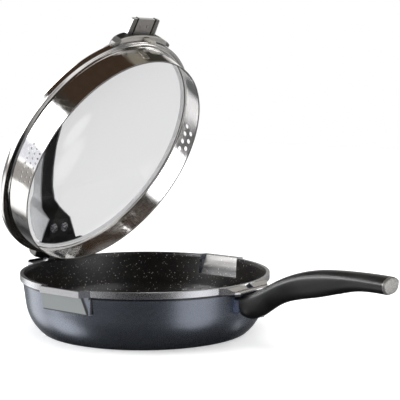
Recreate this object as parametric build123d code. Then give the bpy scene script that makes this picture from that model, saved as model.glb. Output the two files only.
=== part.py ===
from build123d import *
import os
from math import cos, sin, tan, radians, degrees, sqrt, asin

# A deep frying pan of the 28 cm class with a hinged glass strainer lid, in millimetres.
# +Z is up, +X runs along the long handle, and the origin is the centre of the base's underside.
# Everything on the lid is built in the closed position and then swung open about the hinge pin.

# Pan casting
RIM_RADIUS = 142.0          # outside of the rim band
PAN_HEIGHT = 66.0           # rim top above the hob
BAND_HEIGHT = 6.7           # light machined band round the rim
BAND_OVERHANG = 2.9         # how far the band stands out over the wall
WALL = 2.9                  # cast wall
WALL_DRAFT = 7.3            # degrees that the wall leans out
CORNER_RADIUS = 51.2        # outside corner between wall and base
CORNER_HEIGHT = 39.4        # height of that corner's centre
INNER_CORNER = 26.0         # inside corner radius
FLOOR_HEIGHT = 6.0          # cooking surface above the hob
FOOT_HEIGHT = 0.6           # casting's underside above the hob
LEAD_IN_DEPTH = 3.5         # bevel inside the rim that guides the lid
LEAD_IN_WIDTH = 1.3

# Base disc
DISC_RADIUS = 104.0
DISC_THICKNESS = 1.6
SEAT_GAP = 0.05             # gap of pieces that are pressed together

# Pouring spouts, one on each side
SPOUT_CENTRE_X = 5.0
SPOUT_REACH = 147.0         # lip of the spout from the pan's centre line
SPOUT_TOP_HALF = 27.5       # half width of the flat outer face at the rim
SPOUT_BOTTOM_HALF = 31.5    # and at its lower edge
SPOUT_ROOT_HALF = 33.0      # where its sides run into the wall
SPOUT_BOTTOM_Z = 40.0
SPOUT_LEAN = 9.0            # how far the face leans in from rim to lower edge
SPOUT_WALL = 3.3
SPOUT_ROOT_Y = 133.0

# Latch ledge at the front and hinge tab at the back of the rim
LEDGE_REACH = RIM_RADIUS + 8.5
SHELF_ROOT_HALF = 43.0              # where ledge and tab leave the rim
LEDGE_END_HALF = 30.5
LEDGE_TOP_Z = PAN_HEIGHT - 5.8      # top of the ledge's outer edge
LEDGE_THICKNESS = 3.4               # thickness there
TAB_REACH = RIM_RADIUS + 12.2
TAB_END_HALF = 37.5
TAB_TOP_Z = PAN_HEIGHT - 0.6
TAB_THICKNESS = 6.5
TAB_LIP_Z = PAN_HEIGHT + 1.2        # raised outer lip of the hinge tab
TAB_LIP_WIDTH = 2.4

# Lug, tang and ferrule that carry the long handle
LUG_HALF_WIDTH = 17.0
LUG_BOTTOM_Z = 37.0
LUG_TOP_Z = 50.5
LUG_REACH = RIM_RADIUS - 3.7
TANG_HALF_WIDTH = 7.0
TANG_BOTTOM_Z = 40.0
TANG_TOP_Z = 49.0
TANG_REACH = RIM_RADIUS + 23.0
FERRULE_LENGTH = 4.3
FERRULE_PROUD = 0.9         # how far the ferrule stands out round the lug
FIT_GAP = 0.3               # gap of pieces that slip over each other

# Long handle
HANDLE_LENGTH = 169.8        # from the rim to the end cap
CAP_THICKNESS = 3.0
HANDLE_SCREW_X = RIM_RADIUS + 17.0
HANDLE_SCREW_RADIUS = 2.5
HANDLE_SCREW_HEAD = 4.2
HANDLE_SCREW_SEAT_Z = 35.4  # where its head bears in the handle
HANDLE_SCREW_BITE = 7.5     # how far it reaches into the tang

# Lid ring and glass, closed
LID_OPEN = 61.7             # degrees between closed and the position shown
HINGE_X = -RIM_RADIUS - 3.4
HINGE_Z = PAN_HEIGHT + 11.0
SHEET = 0.8                 # rolled steel sheet of the ring
FLANGE_RADIUS = RIM_RADIUS + 0.1
FLANGE_Z = PAN_HEIGHT + 0.3         # underside of the flange, just over the rim
SKIRT_TOP_RADIUS = RIM_RADIUS - 5.6
SKIRT_BOTTOM_RADIUS = RIM_RADIUS - 9.7
SKIRT_DEPTH = 28.9
GLASS_RADIUS = RIM_RADIUS - 2.8
GLASS_THICKNESS = 4.0
GLASS_PLAY = 0.25           # above and below the glass in the channel
GLASS_FLAT_RADIUS = RIM_RADIUS - 9.0    # the dome starts inside this flat rim
DOME_HEIGHT = 30.0

# Strainer holes
SMALL_HOLE = 2.3
SMALL_PITCH = 2.52          # degrees
SMALL_CENTRE = -89.5
SMALL_ROWS = ((13.8, 9), (19.8, 8), (25.5, 7))     # depth under the flange, holes
LARGE_HOLE = 6.0
LARGE_PITCH = 4.6
LARGE_CENTRE = 86.8
LARGE_ROWS = ((11.3, 6), (20.8, 5))

# Bridge handle over the lid
BRIDGE_HALF_WIDTH = 11.0
BRIDGE_INNER_HALF = 18.8    # half width of a foot at its inner end
BRIDGE_OUTER_HALF = 27.5    # and towards the ring
BRIDGE_SHELL = 2.0          # lacquered shell
BRIDGE_CORE = 1.8           # walls of the black core inside it
FOOT_CLEARANCE = 5.5        # the feet stand this far off the glass
FOOT_INNER_X = 107.0
FOOT_OUTER_X = 131.5

# Clips that wrap the ring at the hinge and at the latch, each with a tongue under a foot
CLIP_INNER_RADIUS = RIM_RADIUS - 9.0
CLIP_GAP = 0.3              # between the clips and the ring
HINGE_CLIP_RADIUS = RIM_RADIUS + 10.3
HINGE_CLIP_HALF = 40.0
HINGE_CLIP_TOP_Z = PAN_HEIGHT + 18.0
HINGE_CLIP_SKIRT_Z = PAN_HEIGHT + 2.6
HINGE_CLIP_ROUNDING = 5.0
LATCH_CLIP_RADIUS = RIM_RADIUS + 6.6
LATCH_CLIP_HALF = 47.0
LATCH_CLIP_TOP_Z = PAN_HEIGHT + 14.5
LATCH_CLIP_SKIRT_Z = PAN_HEIGHT + 1.2
LATCH_CLIP_ROUNDING = 3.0
TONGUE_INNER_X = 108.5
TONGUE_HALF = 15.0
TONGUE_THICKNESS = 3.0
FOOT_SCREW_X = 118.0
FOOT_SCREW_Y = 9.0
FOOT_SCREW_RADIUS = 2.0
FOOT_SCREW_BITE = 4.0       # how far the screws reach into the foot
SCREW_HEAD_RADIUS = 4.0
SCREW_HEAD_HEIGHT = 2.3
WASHER_RADIUS = 5.6
WASHER_THICKNESS = 1.2

# Hinge
HINGE_PIN_RADIUS = 2.0
HINGE_PIN_HALF = 33.0
KNUCKLE_WALL = 2.5
KNUCKLE_HALF = 12.0
RUNNING_GAP = 0.05          # radial clearance of a pin that turns in its bore
SIDE_GAP = 0.4              # clearance beside a turning piece
BRACKET_PLATE = 2.0
BRACKET_NECK_HALF = 2.3
BRACKET_RIVET_X = HINGE_X - 4.1
BRACKET_RIVET_Y = 8.0
BRACKET_RIVET_RADIUS = 0.9
BRACKET_RIVET_HEAD = 1.6
BRACKET_RIVET_HEAD_HEIGHT = 1.0

# Latch
LATCH_PIN_X = RIM_RADIUS + 0.2
LATCH_PIN_Z = PAN_HEIGHT + 10.4
LATCH_PIN_RADIUS = 1.5
LATCH_PIN_HALF = 32.0
LEVER_ROOT_HALF = 24.4
LEVER_END_HALF = 22.9
LEVER_REACH = RIM_RADIUS + 23.2
LEVER_BOTTOM_Z = PAN_HEIGHT + 9.4
LEVER_THICKNESS = 3.6
LEVER_HUB_RADIUS = 3.2
LEVER_RIB_Y = 15.2          # two ribs that wrap the lever's outer edge
LEVER_RIB_WIDTH = 1.6
LEVER_RIB_PROUD = 0.7
HOOK_HALF = 4.5
HOOK_PLATE_HALF = 9.5
HOOK_SHEET = 1.8
HOOK_BACK_X = RIM_RADIUS + 2.2
HOOK_NOSE = 2.0
HOOK_NOSE_DEPTH = 2.8
HOOK_CATCH_GAP = 0.35       # gap between the nose and the ledge's underside
SLOT_INNER_X = RIM_RADIUS - 1.1
SLOT_OUTER_X = RIM_RADIUS + 4.6
SLOT_HALF = 5.0
HOOK_RIVET_INSET = 9.0      # from the lever's outer edge
HOOK_RIVET_Y = 5.5
HOOK_RIVET_RADIUS = 1.2
HOOK_RIVET_HEAD = 2.1
HOOK_RIVET_HEAD_HEIGHT = 0.7
SPRING_WIRE = 0.9
SPRING_TURNS = 5
SPRING_GAP = 0.45           # between its turns
SPRING_Y = 17.5             # middle of the spring along the pin


def xz(points):
    """A face in the XZ plane from (x, z) pairs, in order."""
    return make_face(Polyline(*[(x, 0, z) for x, z in points], close=True))


def slab(points, y_low, y_high):
    """The outline of (x, z) pairs carried from y_low to y_high."""
    return extrude(xz(points), amount=y_high - y_low, dir=(0, 1, 0)).moved(Location((0, y_low, 0)))


def block(x_low, x_high, y_low, y_high, z_low, z_high):
    """A box between two corners."""
    size = (x_high - x_low, y_high - y_low, z_high - z_low)
    centre = ((x_low + x_high) / 2, (y_low + y_high) / 2, (z_low + z_high) / 2)
    return Location(centre) * Box(*size)


def plate(outline, z_low, z_high):
    """The outline of (x, y) pairs carried from z_low to z_high."""
    face = make_face(Polyline(*[(x, y, z_low) for x, y in outline], close=True))
    return extrude(face, amount=z_high - z_low, dir=(0, 0, 1))


def ring_sector(r_inner, r_outer, z_low, z_high, x_sign, half_width):
    """The part of a flat ring round the pan's axis within half_width of the XZ plane, on one side."""
    height = z_high - z_low
    ring = Cylinder(r_outer, height) - Cylinder(r_inner, height + 2)
    ring = Location((0, 0, (z_low + z_high) / 2)) * ring
    reach = r_outer + 5
    x_low, x_high = (20, reach) if x_sign > 0 else (-reach, -20)
    return ring & block(x_low, x_high, -half_width, half_width, z_low - 1, z_high + 1)


def along_y(radius, x, z, y_low, y_high):
    """A round bar parallel to Y."""
    bar = Cylinder(radius, y_high - y_low, rotation=(90, 0, 0))
    return Location((x, (y_low + y_high) / 2, z)) * bar


def cross_recess(radius, depth):
    """The cross in a screw head, opening up from its plane."""
    arm = Box(radius * 1.1, radius * 0.26, depth * 2)
    return arm + Box(radius * 0.26, radius * 1.1, depth * 2)


def one(shape):
    """The single solid of a shape."""
    solids = shape.solids()
    assert len(solids) == 1, len(solids)
    return solids[0]


NODES = {}


def keep(name, *solids):
    """Files each solid under its node's name."""
    NODES.setdefault(name, []).extend(solids)


def swing(shape):
    """Turns a piece of the closed lid to the open position shown."""
    return shape.rotate(Axis((HINGE_X, 0, HINGE_Z), (0, -1, 0)), LID_OPEN)


# Shapes of the pan wall that other pieces line up with
band_bottom = PAN_HEIGHT - BAND_HEIGHT
wall_top_radius = RIM_RADIUS - BAND_OVERHANG
draft = radians(WALL_DRAFT)


def wall_radius(z):
    """Outside radius of the straight part of the wall at a height."""
    return wall_top_radius - (band_bottom - z) * tan(draft)


corner_join_z = CORNER_HEIGHT - CORNER_RADIUS * sin(draft)
corner_centre_r = wall_radius(corner_join_z) - CORNER_RADIUS * cos(draft)
foot_radius = corner_centre_r + sqrt(CORNER_RADIUS ** 2 - (CORNER_HEIGHT - FOOT_HEIGHT) ** 2)
wall_across = WALL / cos(draft)


def corner_point(centre_r, centre_z, radius, below):
    """A point of a round corner, at an angle below the horizontal."""
    return (centre_r + radius * cos(radians(below)), 0, centre_z - radius * sin(radians(below)))


def pan_outside():
    """The pan's outside as one full turned solid, up to the rim top."""
    low_angle = degrees(asin((CORNER_HEIGHT - FOOT_HEIGHT) / CORNER_RADIUS))
    mid_angle = (WALL_DRAFT + low_angle) / 2
    start = (foot_radius, 0, FOOT_HEIGHT)
    middle = corner_point(corner_centre_r, CORNER_HEIGHT, CORNER_RADIUS, mid_angle)
    join = (wall_radius(corner_join_z), 0, corner_join_z)
    outline = [
        Line((0, 0, FOOT_HEIGHT), start),
        ThreePointArc(start, middle, join),
        Polyline(join, (wall_top_radius, 0, band_bottom), (RIM_RADIUS, 0, band_bottom),
                 (RIM_RADIUS, 0, PAN_HEIGHT), (0, 0, PAN_HEIGHT), (0, 0, FOOT_HEIGHT)),
    ]
    return revolve(make_face(outline), axis=Axis.Z)


def pan_inside():
    """The space inside the pan, open upwards."""
    centre_z = FLOOR_HEIGHT + INNER_CORNER
    join_z = centre_z - INNER_CORNER * sin(draft)
    centre_r = wall_radius(join_z) - wall_across - INNER_CORNER * cos(draft)
    lead_z = PAN_HEIGHT - LEAD_IN_DEPTH
    lead_r = wall_radius(lead_z) - wall_across
    above = PAN_HEIGHT + 10
    start = (centre_r, 0, FLOOR_HEIGHT)
    middle = corner_point(centre_r, centre_z, INNER_CORNER, (WALL_DRAFT + 90) / 2)
    join = (wall_radius(join_z) - wall_across, 0, join_z)
    rim_r = lead_r + LEAD_IN_WIDTH
    outline = [
        Line((0, 0, FLOOR_HEIGHT), start),
        ThreePointArc(start, middle, join),
        Polyline(join, (lead_r, 0, lead_z), (rim_r, 0, PAN_HEIGHT), (rim_r, 0, above),
                 (0, 0, above), (0, 0, FLOOR_HEIGHT)),
    ]
    return revolve(make_face(outline), axis=Axis.Z)


def spout_section(z, half, reach, root_half, root_y):
    """A level section of a spout on the +Y side."""
    depth = 25
    right, left = SPOUT_CENTRE_X + half, SPOUT_CENTRE_X - half
    root_right, root_left = SPOUT_CENTRE_X + root_half, SPOUT_CENTRE_X - root_half
    corners = [(right, reach), (root_right, root_y), (root_right, root_y - depth),
               (root_left, root_y - depth), (root_left, root_y), (left, reach)]
    return make_face(Polyline(*[(x, y, z) for x, y in corners], close=True))


def spout_face(z):
    """Distance and half width of the flat outer face at a height."""
    share = (PAN_HEIGHT - z) / (PAN_HEIGHT - SPOUT_BOTTOM_Z)
    half = SPOUT_TOP_HALF + (SPOUT_BOTTOM_HALF - SPOUT_TOP_HALF) * share
    return SPOUT_REACH - 1 - SPOUT_LEAN * share + share, half


def spout_outside():
    """The wedge under the rim and the band over it."""
    low_y, low_half = spout_face(SPOUT_BOTTOM_Z)
    top_y, top_half = spout_face(band_bottom)
    wedge = loft([spout_section(SPOUT_BOTTOM_Z, low_half, low_y, SPOUT_ROOT_HALF, SPOUT_ROOT_Y),
                  spout_section(band_bottom, top_half, top_y, SPOUT_ROOT_HALF, SPOUT_ROOT_Y)])
    band = extrude(spout_section(band_bottom, SPOUT_TOP_HALF + 0.5, SPOUT_REACH,
                                 SPOUT_ROOT_HALF + 0.8, SPOUT_ROOT_Y + 3.2),
                   amount=BAND_HEIGHT, dir=(0, 0, 1))
    return wedge + band


def spout_inside():
    """The channel that the food's water runs out through."""
    low_z = SPOUT_BOTTOM_Z + 2
    high_z = PAN_HEIGHT + 1
    root_y = SPOUT_ROOT_Y - SPOUT_WALL
    sections = []
    for z in (low_z, high_z):
        y, half = spout_face(z)
        sections.append(spout_section(z, half - SPOUT_WALL, y - SPOUT_WALL,
                                      SPOUT_ROOT_HALF - SPOUT_WALL, root_y))
    return loft(sections)


def rim_shelf(profile, x_sign, reach, end_half):
    """A shelf on the rim with a side profile of (x, z) pairs, and its corners drawn in."""
    side = slab([(x_sign * x, z) for x, z in profile], -SHELF_ROOT_HALF, SHELF_ROOT_HALF)
    corner = 3.0
    inside, root = RIM_RADIUS - 22, RIM_RADIUS - 6.5
    outline = [(x_sign * inside, -SHELF_ROOT_HALF), (x_sign * root, -SHELF_ROOT_HALF),
               (x_sign * (reach - corner), -end_half), (x_sign * reach, -end_half + 2 * corner),
               (x_sign * reach, end_half - 2 * corner), (x_sign * (reach - corner), end_half),
               (x_sign * root, SHELF_ROOT_HALF), (x_sign * inside, SHELF_ROOT_HALF)]
    return side & plate(outline, PAN_HEIGHT - 20, PAN_HEIGHT + 10)


def ledge_underside(x):
    """Height of the latch ledge's underside at a distance from the centre."""
    root_z = band_bottom - 1.4
    end_z = LEDGE_TOP_Z - LEDGE_THICKNESS
    return root_z + (end_z - root_z) * (x - RIM_RADIUS) / (LEDGE_REACH - RIM_RADIUS)


def hook_tip_z():
    """Lowest point of the latch's hook when it holds the ledge."""
    return ledge_underside(SLOT_OUTER_X) - HOOK_CATCH_GAP - HOOK_NOSE_DEPTH


def pan_body():
    """The casting: bowl, rim band, spouts, latch ledge, hinge tab, lug and tang."""
    body = pan_outside()
    spout = spout_outside()
    root_x = RIM_RADIUS - 12
    step_x = SLOT_OUTER_X + 0.6
    ledge = rim_shelf([(root_x, ledge_underside(RIM_RADIUS)), (RIM_RADIUS, ledge_underside(RIM_RADIUS)),
                       (LEDGE_REACH, ledge_underside(LEDGE_REACH)), (LEDGE_REACH, LEDGE_TOP_Z),
                       (step_x, LEDGE_TOP_Z + 1.0), (step_x - 0.4, LEDGE_TOP_Z + 1.9),
                       (RIM_RADIUS, PAN_HEIGHT - 0.8), (RIM_RADIUS - 1, PAN_HEIGHT),
                       (root_x, PAN_HEIGHT)], 1, LEDGE_REACH, LEDGE_END_HALF)
    lip_x = TAB_REACH - TAB_LIP_WIDTH
    tab = rim_shelf([(root_x, TAB_TOP_Z - TAB_THICKNESS), (RIM_RADIUS, TAB_TOP_Z - TAB_THICKNESS),
                     (TAB_REACH, TAB_TOP_Z - TAB_THICKNESS + 1.5), (TAB_REACH, TAB_LIP_Z),
                     (lip_x, TAB_LIP_Z), (lip_x - 0.6, TAB_TOP_Z), (root_x, TAB_TOP_Z)],
                    -1, TAB_REACH, TAB_END_HALF)
    lug = block(root_x - 4, LUG_REACH, -LUG_HALF_WIDTH, LUG_HALF_WIDTH, LUG_BOTTOM_Z, LUG_TOP_Z)
    tang = block(root_x - 4, TANG_REACH, -TANG_HALF_WIDTH, TANG_HALF_WIDTH, TANG_BOTTOM_Z, TANG_TOP_Z)
    body = body + [spout, mirror(spout, about=Plane.XZ), ledge, tab, lug, tang]
    body = body - pan_inside()
    channel = spout_inside()
    body = body - [channel, mirror(channel, about=Plane.XZ)]
    recess = Cylinder(DISC_RADIUS + SEAT_GAP, DISC_THICKNESS + SEAT_GAP,
                      align=(Align.CENTER, Align.CENTER, Align.MIN))
    slot = block(SLOT_INNER_X, SLOT_OUTER_X, -SLOT_HALF, SLOT_HALF, PAN_HEIGHT - 14, PAN_HEIGHT + 9)
    thread = Location((HANDLE_SCREW_X, 0, TANG_BOTTOM_Z)) * Cylinder(
        HANDLE_SCREW_RADIUS + SEAT_GAP, 2 * HANDLE_SCREW_BITE + 1)
    rivet_holes = [Location((BRACKET_RIVET_X, side * BRACKET_RIVET_Y, TAB_TOP_Z)) * Cylinder(
        BRACKET_RIVET_RADIUS + SEAT_GAP, 20) for side in (-1, 1)]
    return one(body - [recess, slot, thread] - rivet_holes)


def base_disc():
    """The steel disc pressed into the underside, which the pan stands on."""
    disc = Cylinder(DISC_RADIUS, DISC_THICKNESS, align=(Align.CENTER, Align.CENTER, Align.MIN))
    return one(chamfer(disc.edges().sort_by(Axis.Z)[:1], 0.6))


def handle_ferrule():
    """The lacquered cup over the lug, from the pan's wall to the handle, with a passage for the tang."""
    lug_end = LUG_REACH + SEAT_GAP
    near, far = RIM_RADIUS - 12, lug_end + FERRULE_LENGTH
    half = LUG_HALF_WIDTH + FERRULE_PROUD
    low, high = LUG_BOTTOM_Z - FERRULE_PROUD, LUG_TOP_Z + FERRULE_PROUD
    sleeve = fillet(block(near, far, -half, half, low, high).edges().filter_by(Axis.X), 2.2)
    inside = block(near - 1, lug_end, -LUG_HALF_WIDTH - SEAT_GAP, LUG_HALF_WIDTH + SEAT_GAP,
                   LUG_BOTTOM_Z - SEAT_GAP, LUG_TOP_Z + SEAT_GAP)
    passage = block(near - 1, far + 1, -TANG_HALF_WIDTH - FIT_GAP,
                    TANG_HALF_WIDTH + FIT_GAP, TANG_BOTTOM_Z - FIT_GAP, TANG_TOP_Z + FIT_GAP)
    wall = Location((0, 0, (low + high) / 2)) * Cone(
        wall_radius(low - 1) + SEAT_GAP, wall_radius(high + 1) + SEAT_GAP, high - low + 2)
    return one(sleeve - [inside, passage, wall])


handle_start_x = LUG_REACH + FERRULE_LENGTH + 2 * SEAT_GAP
# Stations along the handle: distance from the rim, crest, edge and underside heights, half width
HANDLE_STATIONS = (
    (handle_start_x - RIM_RADIUS, 54.0, 51.2, 30.8, 17.0),
    (9.0, 57.2, 53.6, 29.4, 17.2),
    (19.0, 62.6, 57.6, 32.6, 16.8),
    (29.0, 68.4, 62.8, 39.4, 16.0),
    (41.4, 75.1, 69.6, 47.6, 15.2),
    (54.0, 80.7, 75.6, 53.2, 14.5),
    (70.0, 86.1, 81.2, 57.6, 14.0),
    (90.0, 90.3, 85.0, 61.9, 14.0),
    (114.0, 92.3, 87.3, 68.2, 14.2),
    (137.0, 92.8, 87.6, 73.6, 14.8),
    (156.0, 92.6, 87.2, 74.6, 15.6),
    (HANDLE_LENGTH, 92.0, 86.7, 74.1, 16.0),
)


def handle_section(along, crest, edge, underside, half):
    """One section: a shallow arc over the top, and half an ellipse below the side edges."""
    x = RIM_RADIUS + along
    top = ThreePointArc((x, -half, edge), (x, 0, crest), (x, half, edge))
    plane = Plane(origin=(x, 0, edge), x_dir=(0, 1, 0), z_dir=(1, 0, 0))
    under = plane * EllipticalCenterArc((0, 0), half, edge - underside, start_angle=180, arc_size=180)
    return make_face([top, under])


def long_handle():
    """The moulded handle, with the tang's socket and the screw's counterbore."""
    grip = loft([handle_section(*station) for station in HANDLE_STATIONS])
    socket = block(handle_start_x - 1, TANG_REACH + 0.6, -TANG_HALF_WIDTH - FIT_GAP,
                   TANG_HALF_WIDTH + FIT_GAP, TANG_BOTTOM_Z - FIT_GAP, TANG_TOP_Z + FIT_GAP)
    near, past, clear = RIM_RADIUS - 12, LEDGE_REACH + 0.8, 0.5
    above = PAN_HEIGHT + 14
    under_ledge = slab([(near, ledge_underside(near) - clear), (past, ledge_underside(LEDGE_REACH) - clear),
                        (past, above), (near, above)], -SHELF_ROOT_HALF, SHELF_ROOT_HALF)
    hook_room = block(handle_start_x - 1, SLOT_OUTER_X + HOOK_NOSE + 1, -HOOK_HALF - 1, HOOK_HALF + 1,
                      hook_tip_z() - 0.8, PAN_HEIGHT)
    shank_hole = Location((HANDLE_SCREW_X, 0, TANG_BOTTOM_Z)) * Cylinder(HANDLE_SCREW_RADIUS + FIT_GAP, 16)
    counterbore = Location((HANDLE_SCREW_X, 0, HANDLE_SCREW_SEAT_Z)) * Cylinder(
        HANDLE_SCREW_HEAD + FIT_GAP, 20, align=(Align.CENTER, Align.CENTER, Align.MAX))
    return one(grip - [socket, under_ledge, hook_room, shank_hole, counterbore])


def handle_end_cap():
    """The light metal cap that closes the handle's end."""
    _, crest, edge, underside, half = HANDLE_STATIONS[-1]
    start = HANDLE_LENGTH + SEAT_GAP
    sections = []
    for share, inset in ((0.0, 0.0), (0.6, 0.1), (1.0, 1.6)):
        sections.append(handle_section(start + CAP_THICKNESS * share, crest - inset, edge - inset * 0.75,
                                       underside + inset, half - inset * 1.1))
    return one(loft(sections, ruled=True))


def screw(head_radius, head_height, shank_radius, length):
    """A screw with its head's underside on the XY plane, pointing up, and a cross in the head."""
    head = Cylinder(head_radius, head_height, align=(Align.CENTER, Align.CENTER, Align.MAX))
    head = fillet(head.edges().sort_by(Axis.Z)[:1], head_height * 0.4)
    shank = Cylinder(shank_radius, length, align=(Align.CENTER, Align.CENTER, Align.MIN))
    recess = Location((0, 0, -head_height)) * cross_recess(head_radius, head_height * 0.5)
    return one(head + shank - recess)


def handle_screw():
    """The screw from below that holds the handle on the tang."""
    length = TANG_BOTTOM_Z + HANDLE_SCREW_BITE - HANDLE_SCREW_SEAT_Z
    return Location((HANDLE_SCREW_X, 0, HANDLE_SCREW_SEAT_Z - SEAT_GAP)) * screw(
        HANDLE_SCREW_HEAD, 3.0, HANDLE_SCREW_RADIUS, length)


knuckle_radius = HINGE_PIN_RADIUS + KNUCKLE_WALL


def hinge_bracket():
    """The steel bracket on the tab: a plate, a neck and the middle knuckle of the hinge."""
    plate_low = TAB_TOP_Z + SEAT_GAP
    plate_top = plate_low + BRACKET_PLATE
    base = block(-TAB_REACH + TAB_LIP_WIDTH + 0.8, HINGE_X + BRACKET_NECK_HALF, -KNUCKLE_HALF, KNUCKLE_HALF,
                 plate_low, plate_top)
    neck = block(HINGE_X - BRACKET_NECK_HALF, HINGE_X + BRACKET_NECK_HALF, -KNUCKLE_HALF, KNUCKLE_HALF,
                 plate_top - 0.5, HINGE_Z)
    knuckle = along_y(knuckle_radius, HINGE_X, HINGE_Z, -KNUCKLE_HALF, KNUCKLE_HALF)
    bore = along_y(HINGE_PIN_RADIUS + RUNNING_GAP, HINGE_X, HINGE_Z, -KNUCKLE_HALF - 1, KNUCKLE_HALF + 1)
    holes = [Location((BRACKET_RIVET_X, side * BRACKET_RIVET_Y, plate_top)) * Cylinder(
        BRACKET_RIVET_RADIUS + SEAT_GAP, 20) for side in (-1, 1)]
    return one(base + neck + knuckle - bore - holes)


def bracket_rivets():
    """Two rivets through the plate and the tab."""
    plate_top = TAB_TOP_Z + SEAT_GAP + BRACKET_PLATE
    rivets = []
    for side in (-1, 1):
        shank = Cylinder(BRACKET_RIVET_RADIUS, BRACKET_PLATE + TAB_THICKNESS,
                         align=(Align.CENTER, Align.CENTER, Align.MAX))
        head = Cylinder(BRACKET_RIVET_HEAD, BRACKET_RIVET_HEAD_HEIGHT,
                        align=(Align.CENTER, Align.CENTER, Align.MIN))
        head = fillet(head.edges().sort_by(Axis.Z)[-1:], 0.5)
        place = Location((BRACKET_RIVET_X, side * BRACKET_RIVET_Y, plate_top + SEAT_GAP))
        rivets.append(one(place * (shank + head)))
    return rivets


# Heights and radii of the lid that several pieces share, closed
flange_top = FLANGE_Z + SHEET
glass_low = flange_top + GLASS_PLAY
glass_high = glass_low + GLASS_THICKNESS
channel_top = glass_high + GLASS_PLAY + SHEET
clip_low = channel_top + CLIP_GAP
skirt_bottom_z = FLANGE_Z - SKIRT_DEPTH
clip_skirt_radius = FLANGE_RADIUS + 2 * CLIP_GAP
dome_radius = (GLASS_FLAT_RADIUS ** 2 + DOME_HEIGHT ** 2) / (2 * DOME_HEIGHT)
dome_centre_z = glass_high + DOME_HEIGHT - dome_radius


def strainer_holes(rows, pitch, centre, diameter):
    """Round holes through the skirt, in rows that step by half a pitch."""
    holes = []
    for depth, count in rows:
        for number in range(count):
            angle = centre + pitch * (number - (count - 1) / 2)
            hole = Cylinder(diameter / 2, 14, rotation=(0, 90, 0))
            place = Location((SKIRT_BOTTOM_RADIUS + 2, 0, FLANGE_Z - depth))
            holes.append(Rotation(0, 0, angle) * place * hole)
    return holes


def lid_ring():
    """The polished ring: channel round the glass, flange over the rim, and strainer skirt."""
    lip_r = GLASS_FLAT_RADIUS + 2
    edge = 0.5
    outline = [(SKIRT_BOTTOM_RADIUS, skirt_bottom_z), (SKIRT_TOP_RADIUS, FLANGE_Z),
               (FLANGE_RADIUS - edge, FLANGE_Z), (FLANGE_RADIUS, FLANGE_Z + edge),
               (FLANGE_RADIUS, channel_top - edge), (FLANGE_RADIUS - edge, channel_top),
               (lip_r, channel_top), (lip_r, channel_top - SHEET),
               (FLANGE_RADIUS - SHEET, channel_top - SHEET), (FLANGE_RADIUS - SHEET, flange_top),
               (SKIRT_TOP_RADIUS - SHEET, flange_top), (SKIRT_BOTTOM_RADIUS - SHEET, skirt_bottom_z)]
    ring = revolve(xz(outline), axis=Axis.Z)
    ring = ring - strainer_holes(SMALL_ROWS, SMALL_PITCH, SMALL_CENTRE, SMALL_HOLE)
    return one(ring - strainer_holes(LARGE_ROWS, LARGE_PITCH, LARGE_CENTRE, LARGE_HOLE))


def dome(radius):
    """A ball concentric with the glass dome."""
    return Location((0, 0, dome_centre_z)) * Sphere(radius)


# A flat washer touches the tongue's curved underside at its own edge
washer_drop = SEAT_GAP + WASHER_RADIUS ** 2 / (2 * dome_radius)


def foot_screw_planes(sign):
    """Where the screws enter the tongue under one foot, each square to the glass."""
    reach = dome_radius + FOOT_CLEARANCE
    planes = []
    for y in (-FOOT_SCREW_Y, FOOT_SCREW_Y):
        x = sign * FOOT_SCREW_X
        rise = sqrt(reach ** 2 - x * x - y * y)
        planes.append(Plane(origin=(x, y, dome_centre_z + rise), x_dir=(0, 1, 0), z_dir=(x, y, rise)))
    return planes


def glass_dome():
    """The toughened glass: a domed disc with a flat rim."""
    inner = dome_radius - GLASS_THICKNESS
    inner_flat = sqrt(inner ** 2 - (glass_low - dome_centre_z) ** 2)
    mid_out = asin(GLASS_FLAT_RADIUS / dome_radius) / 2
    mid_in = asin(inner_flat / inner) / 2
    outline = [
        Polyline((0, 0, dome_centre_z + inner), (0, 0, dome_centre_z + dome_radius)),
        ThreePointArc((0, 0, dome_centre_z + dome_radius),
                      (dome_radius * sin(mid_out), 0, dome_centre_z + dome_radius * cos(mid_out)),
                      (GLASS_FLAT_RADIUS, 0, glass_high)),
        Polyline((GLASS_FLAT_RADIUS, 0, glass_high), (GLASS_RADIUS, 0, glass_high),
                 (GLASS_RADIUS, 0, glass_low), (inner_flat, 0, glass_low)),
        ThreePointArc((inner_flat, 0, glass_low),
                      (inner * sin(mid_in), 0, dome_centre_z + inner * cos(mid_in)),
                      (0, 0, dome_centre_z + inner)),
    ]
    return one(revolve(make_face(outline), axis=Axis.Z))


# Side line of the bridge handle's top, and of its underside, from hinge to latch, above the closed rim
BRIDGE_TOP = ((-FOOT_OUTER_X, 17.0), (-125.0, 30.0), (-118.0, 40.5), (-110.5, 52.5), (-100.0, 65.0),
              (-85.0, 73.5), (-64.0, 81.5), (-36.0, 90.0), (-6.0, 94.5), (24.0, 89.0), (52.0, 76.5),
              (80.0, 59.5), (104.0, 42.0), (120.0, 29.5), (FOOT_OUTER_X, 15.5))
BRIDGE_UNDER = ((-FOOT_INNER_X, 21.0), (-106.0, 31.0), (-103.5, 41.0), (-98.0, 49.0), (-86.0, 57.5),
                (-64.0, 68.0), (-36.0, 77.0), (-6.0, 81.5), (22.0, 76.0), (48.0, 64.5),
                (74.0, 48.5), (92.0, 33.5), (FOOT_INNER_X, 20.0))


def sink(points, depth):
    """The line of (x, z) pairs moved square to itself, downwards by depth."""
    moved = []
    for number, (x, z) in enumerate(points):
        before = points[max(number - 1, 0)]
        after = points[min(number + 1, len(points) - 1)]
        run, rise = after[0] - before[0], after[1] - before[1]
        length = sqrt(run * run + rise * rise)
        moved.append((x + depth * rise / length, z - depth * run / length))
    return moved


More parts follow.
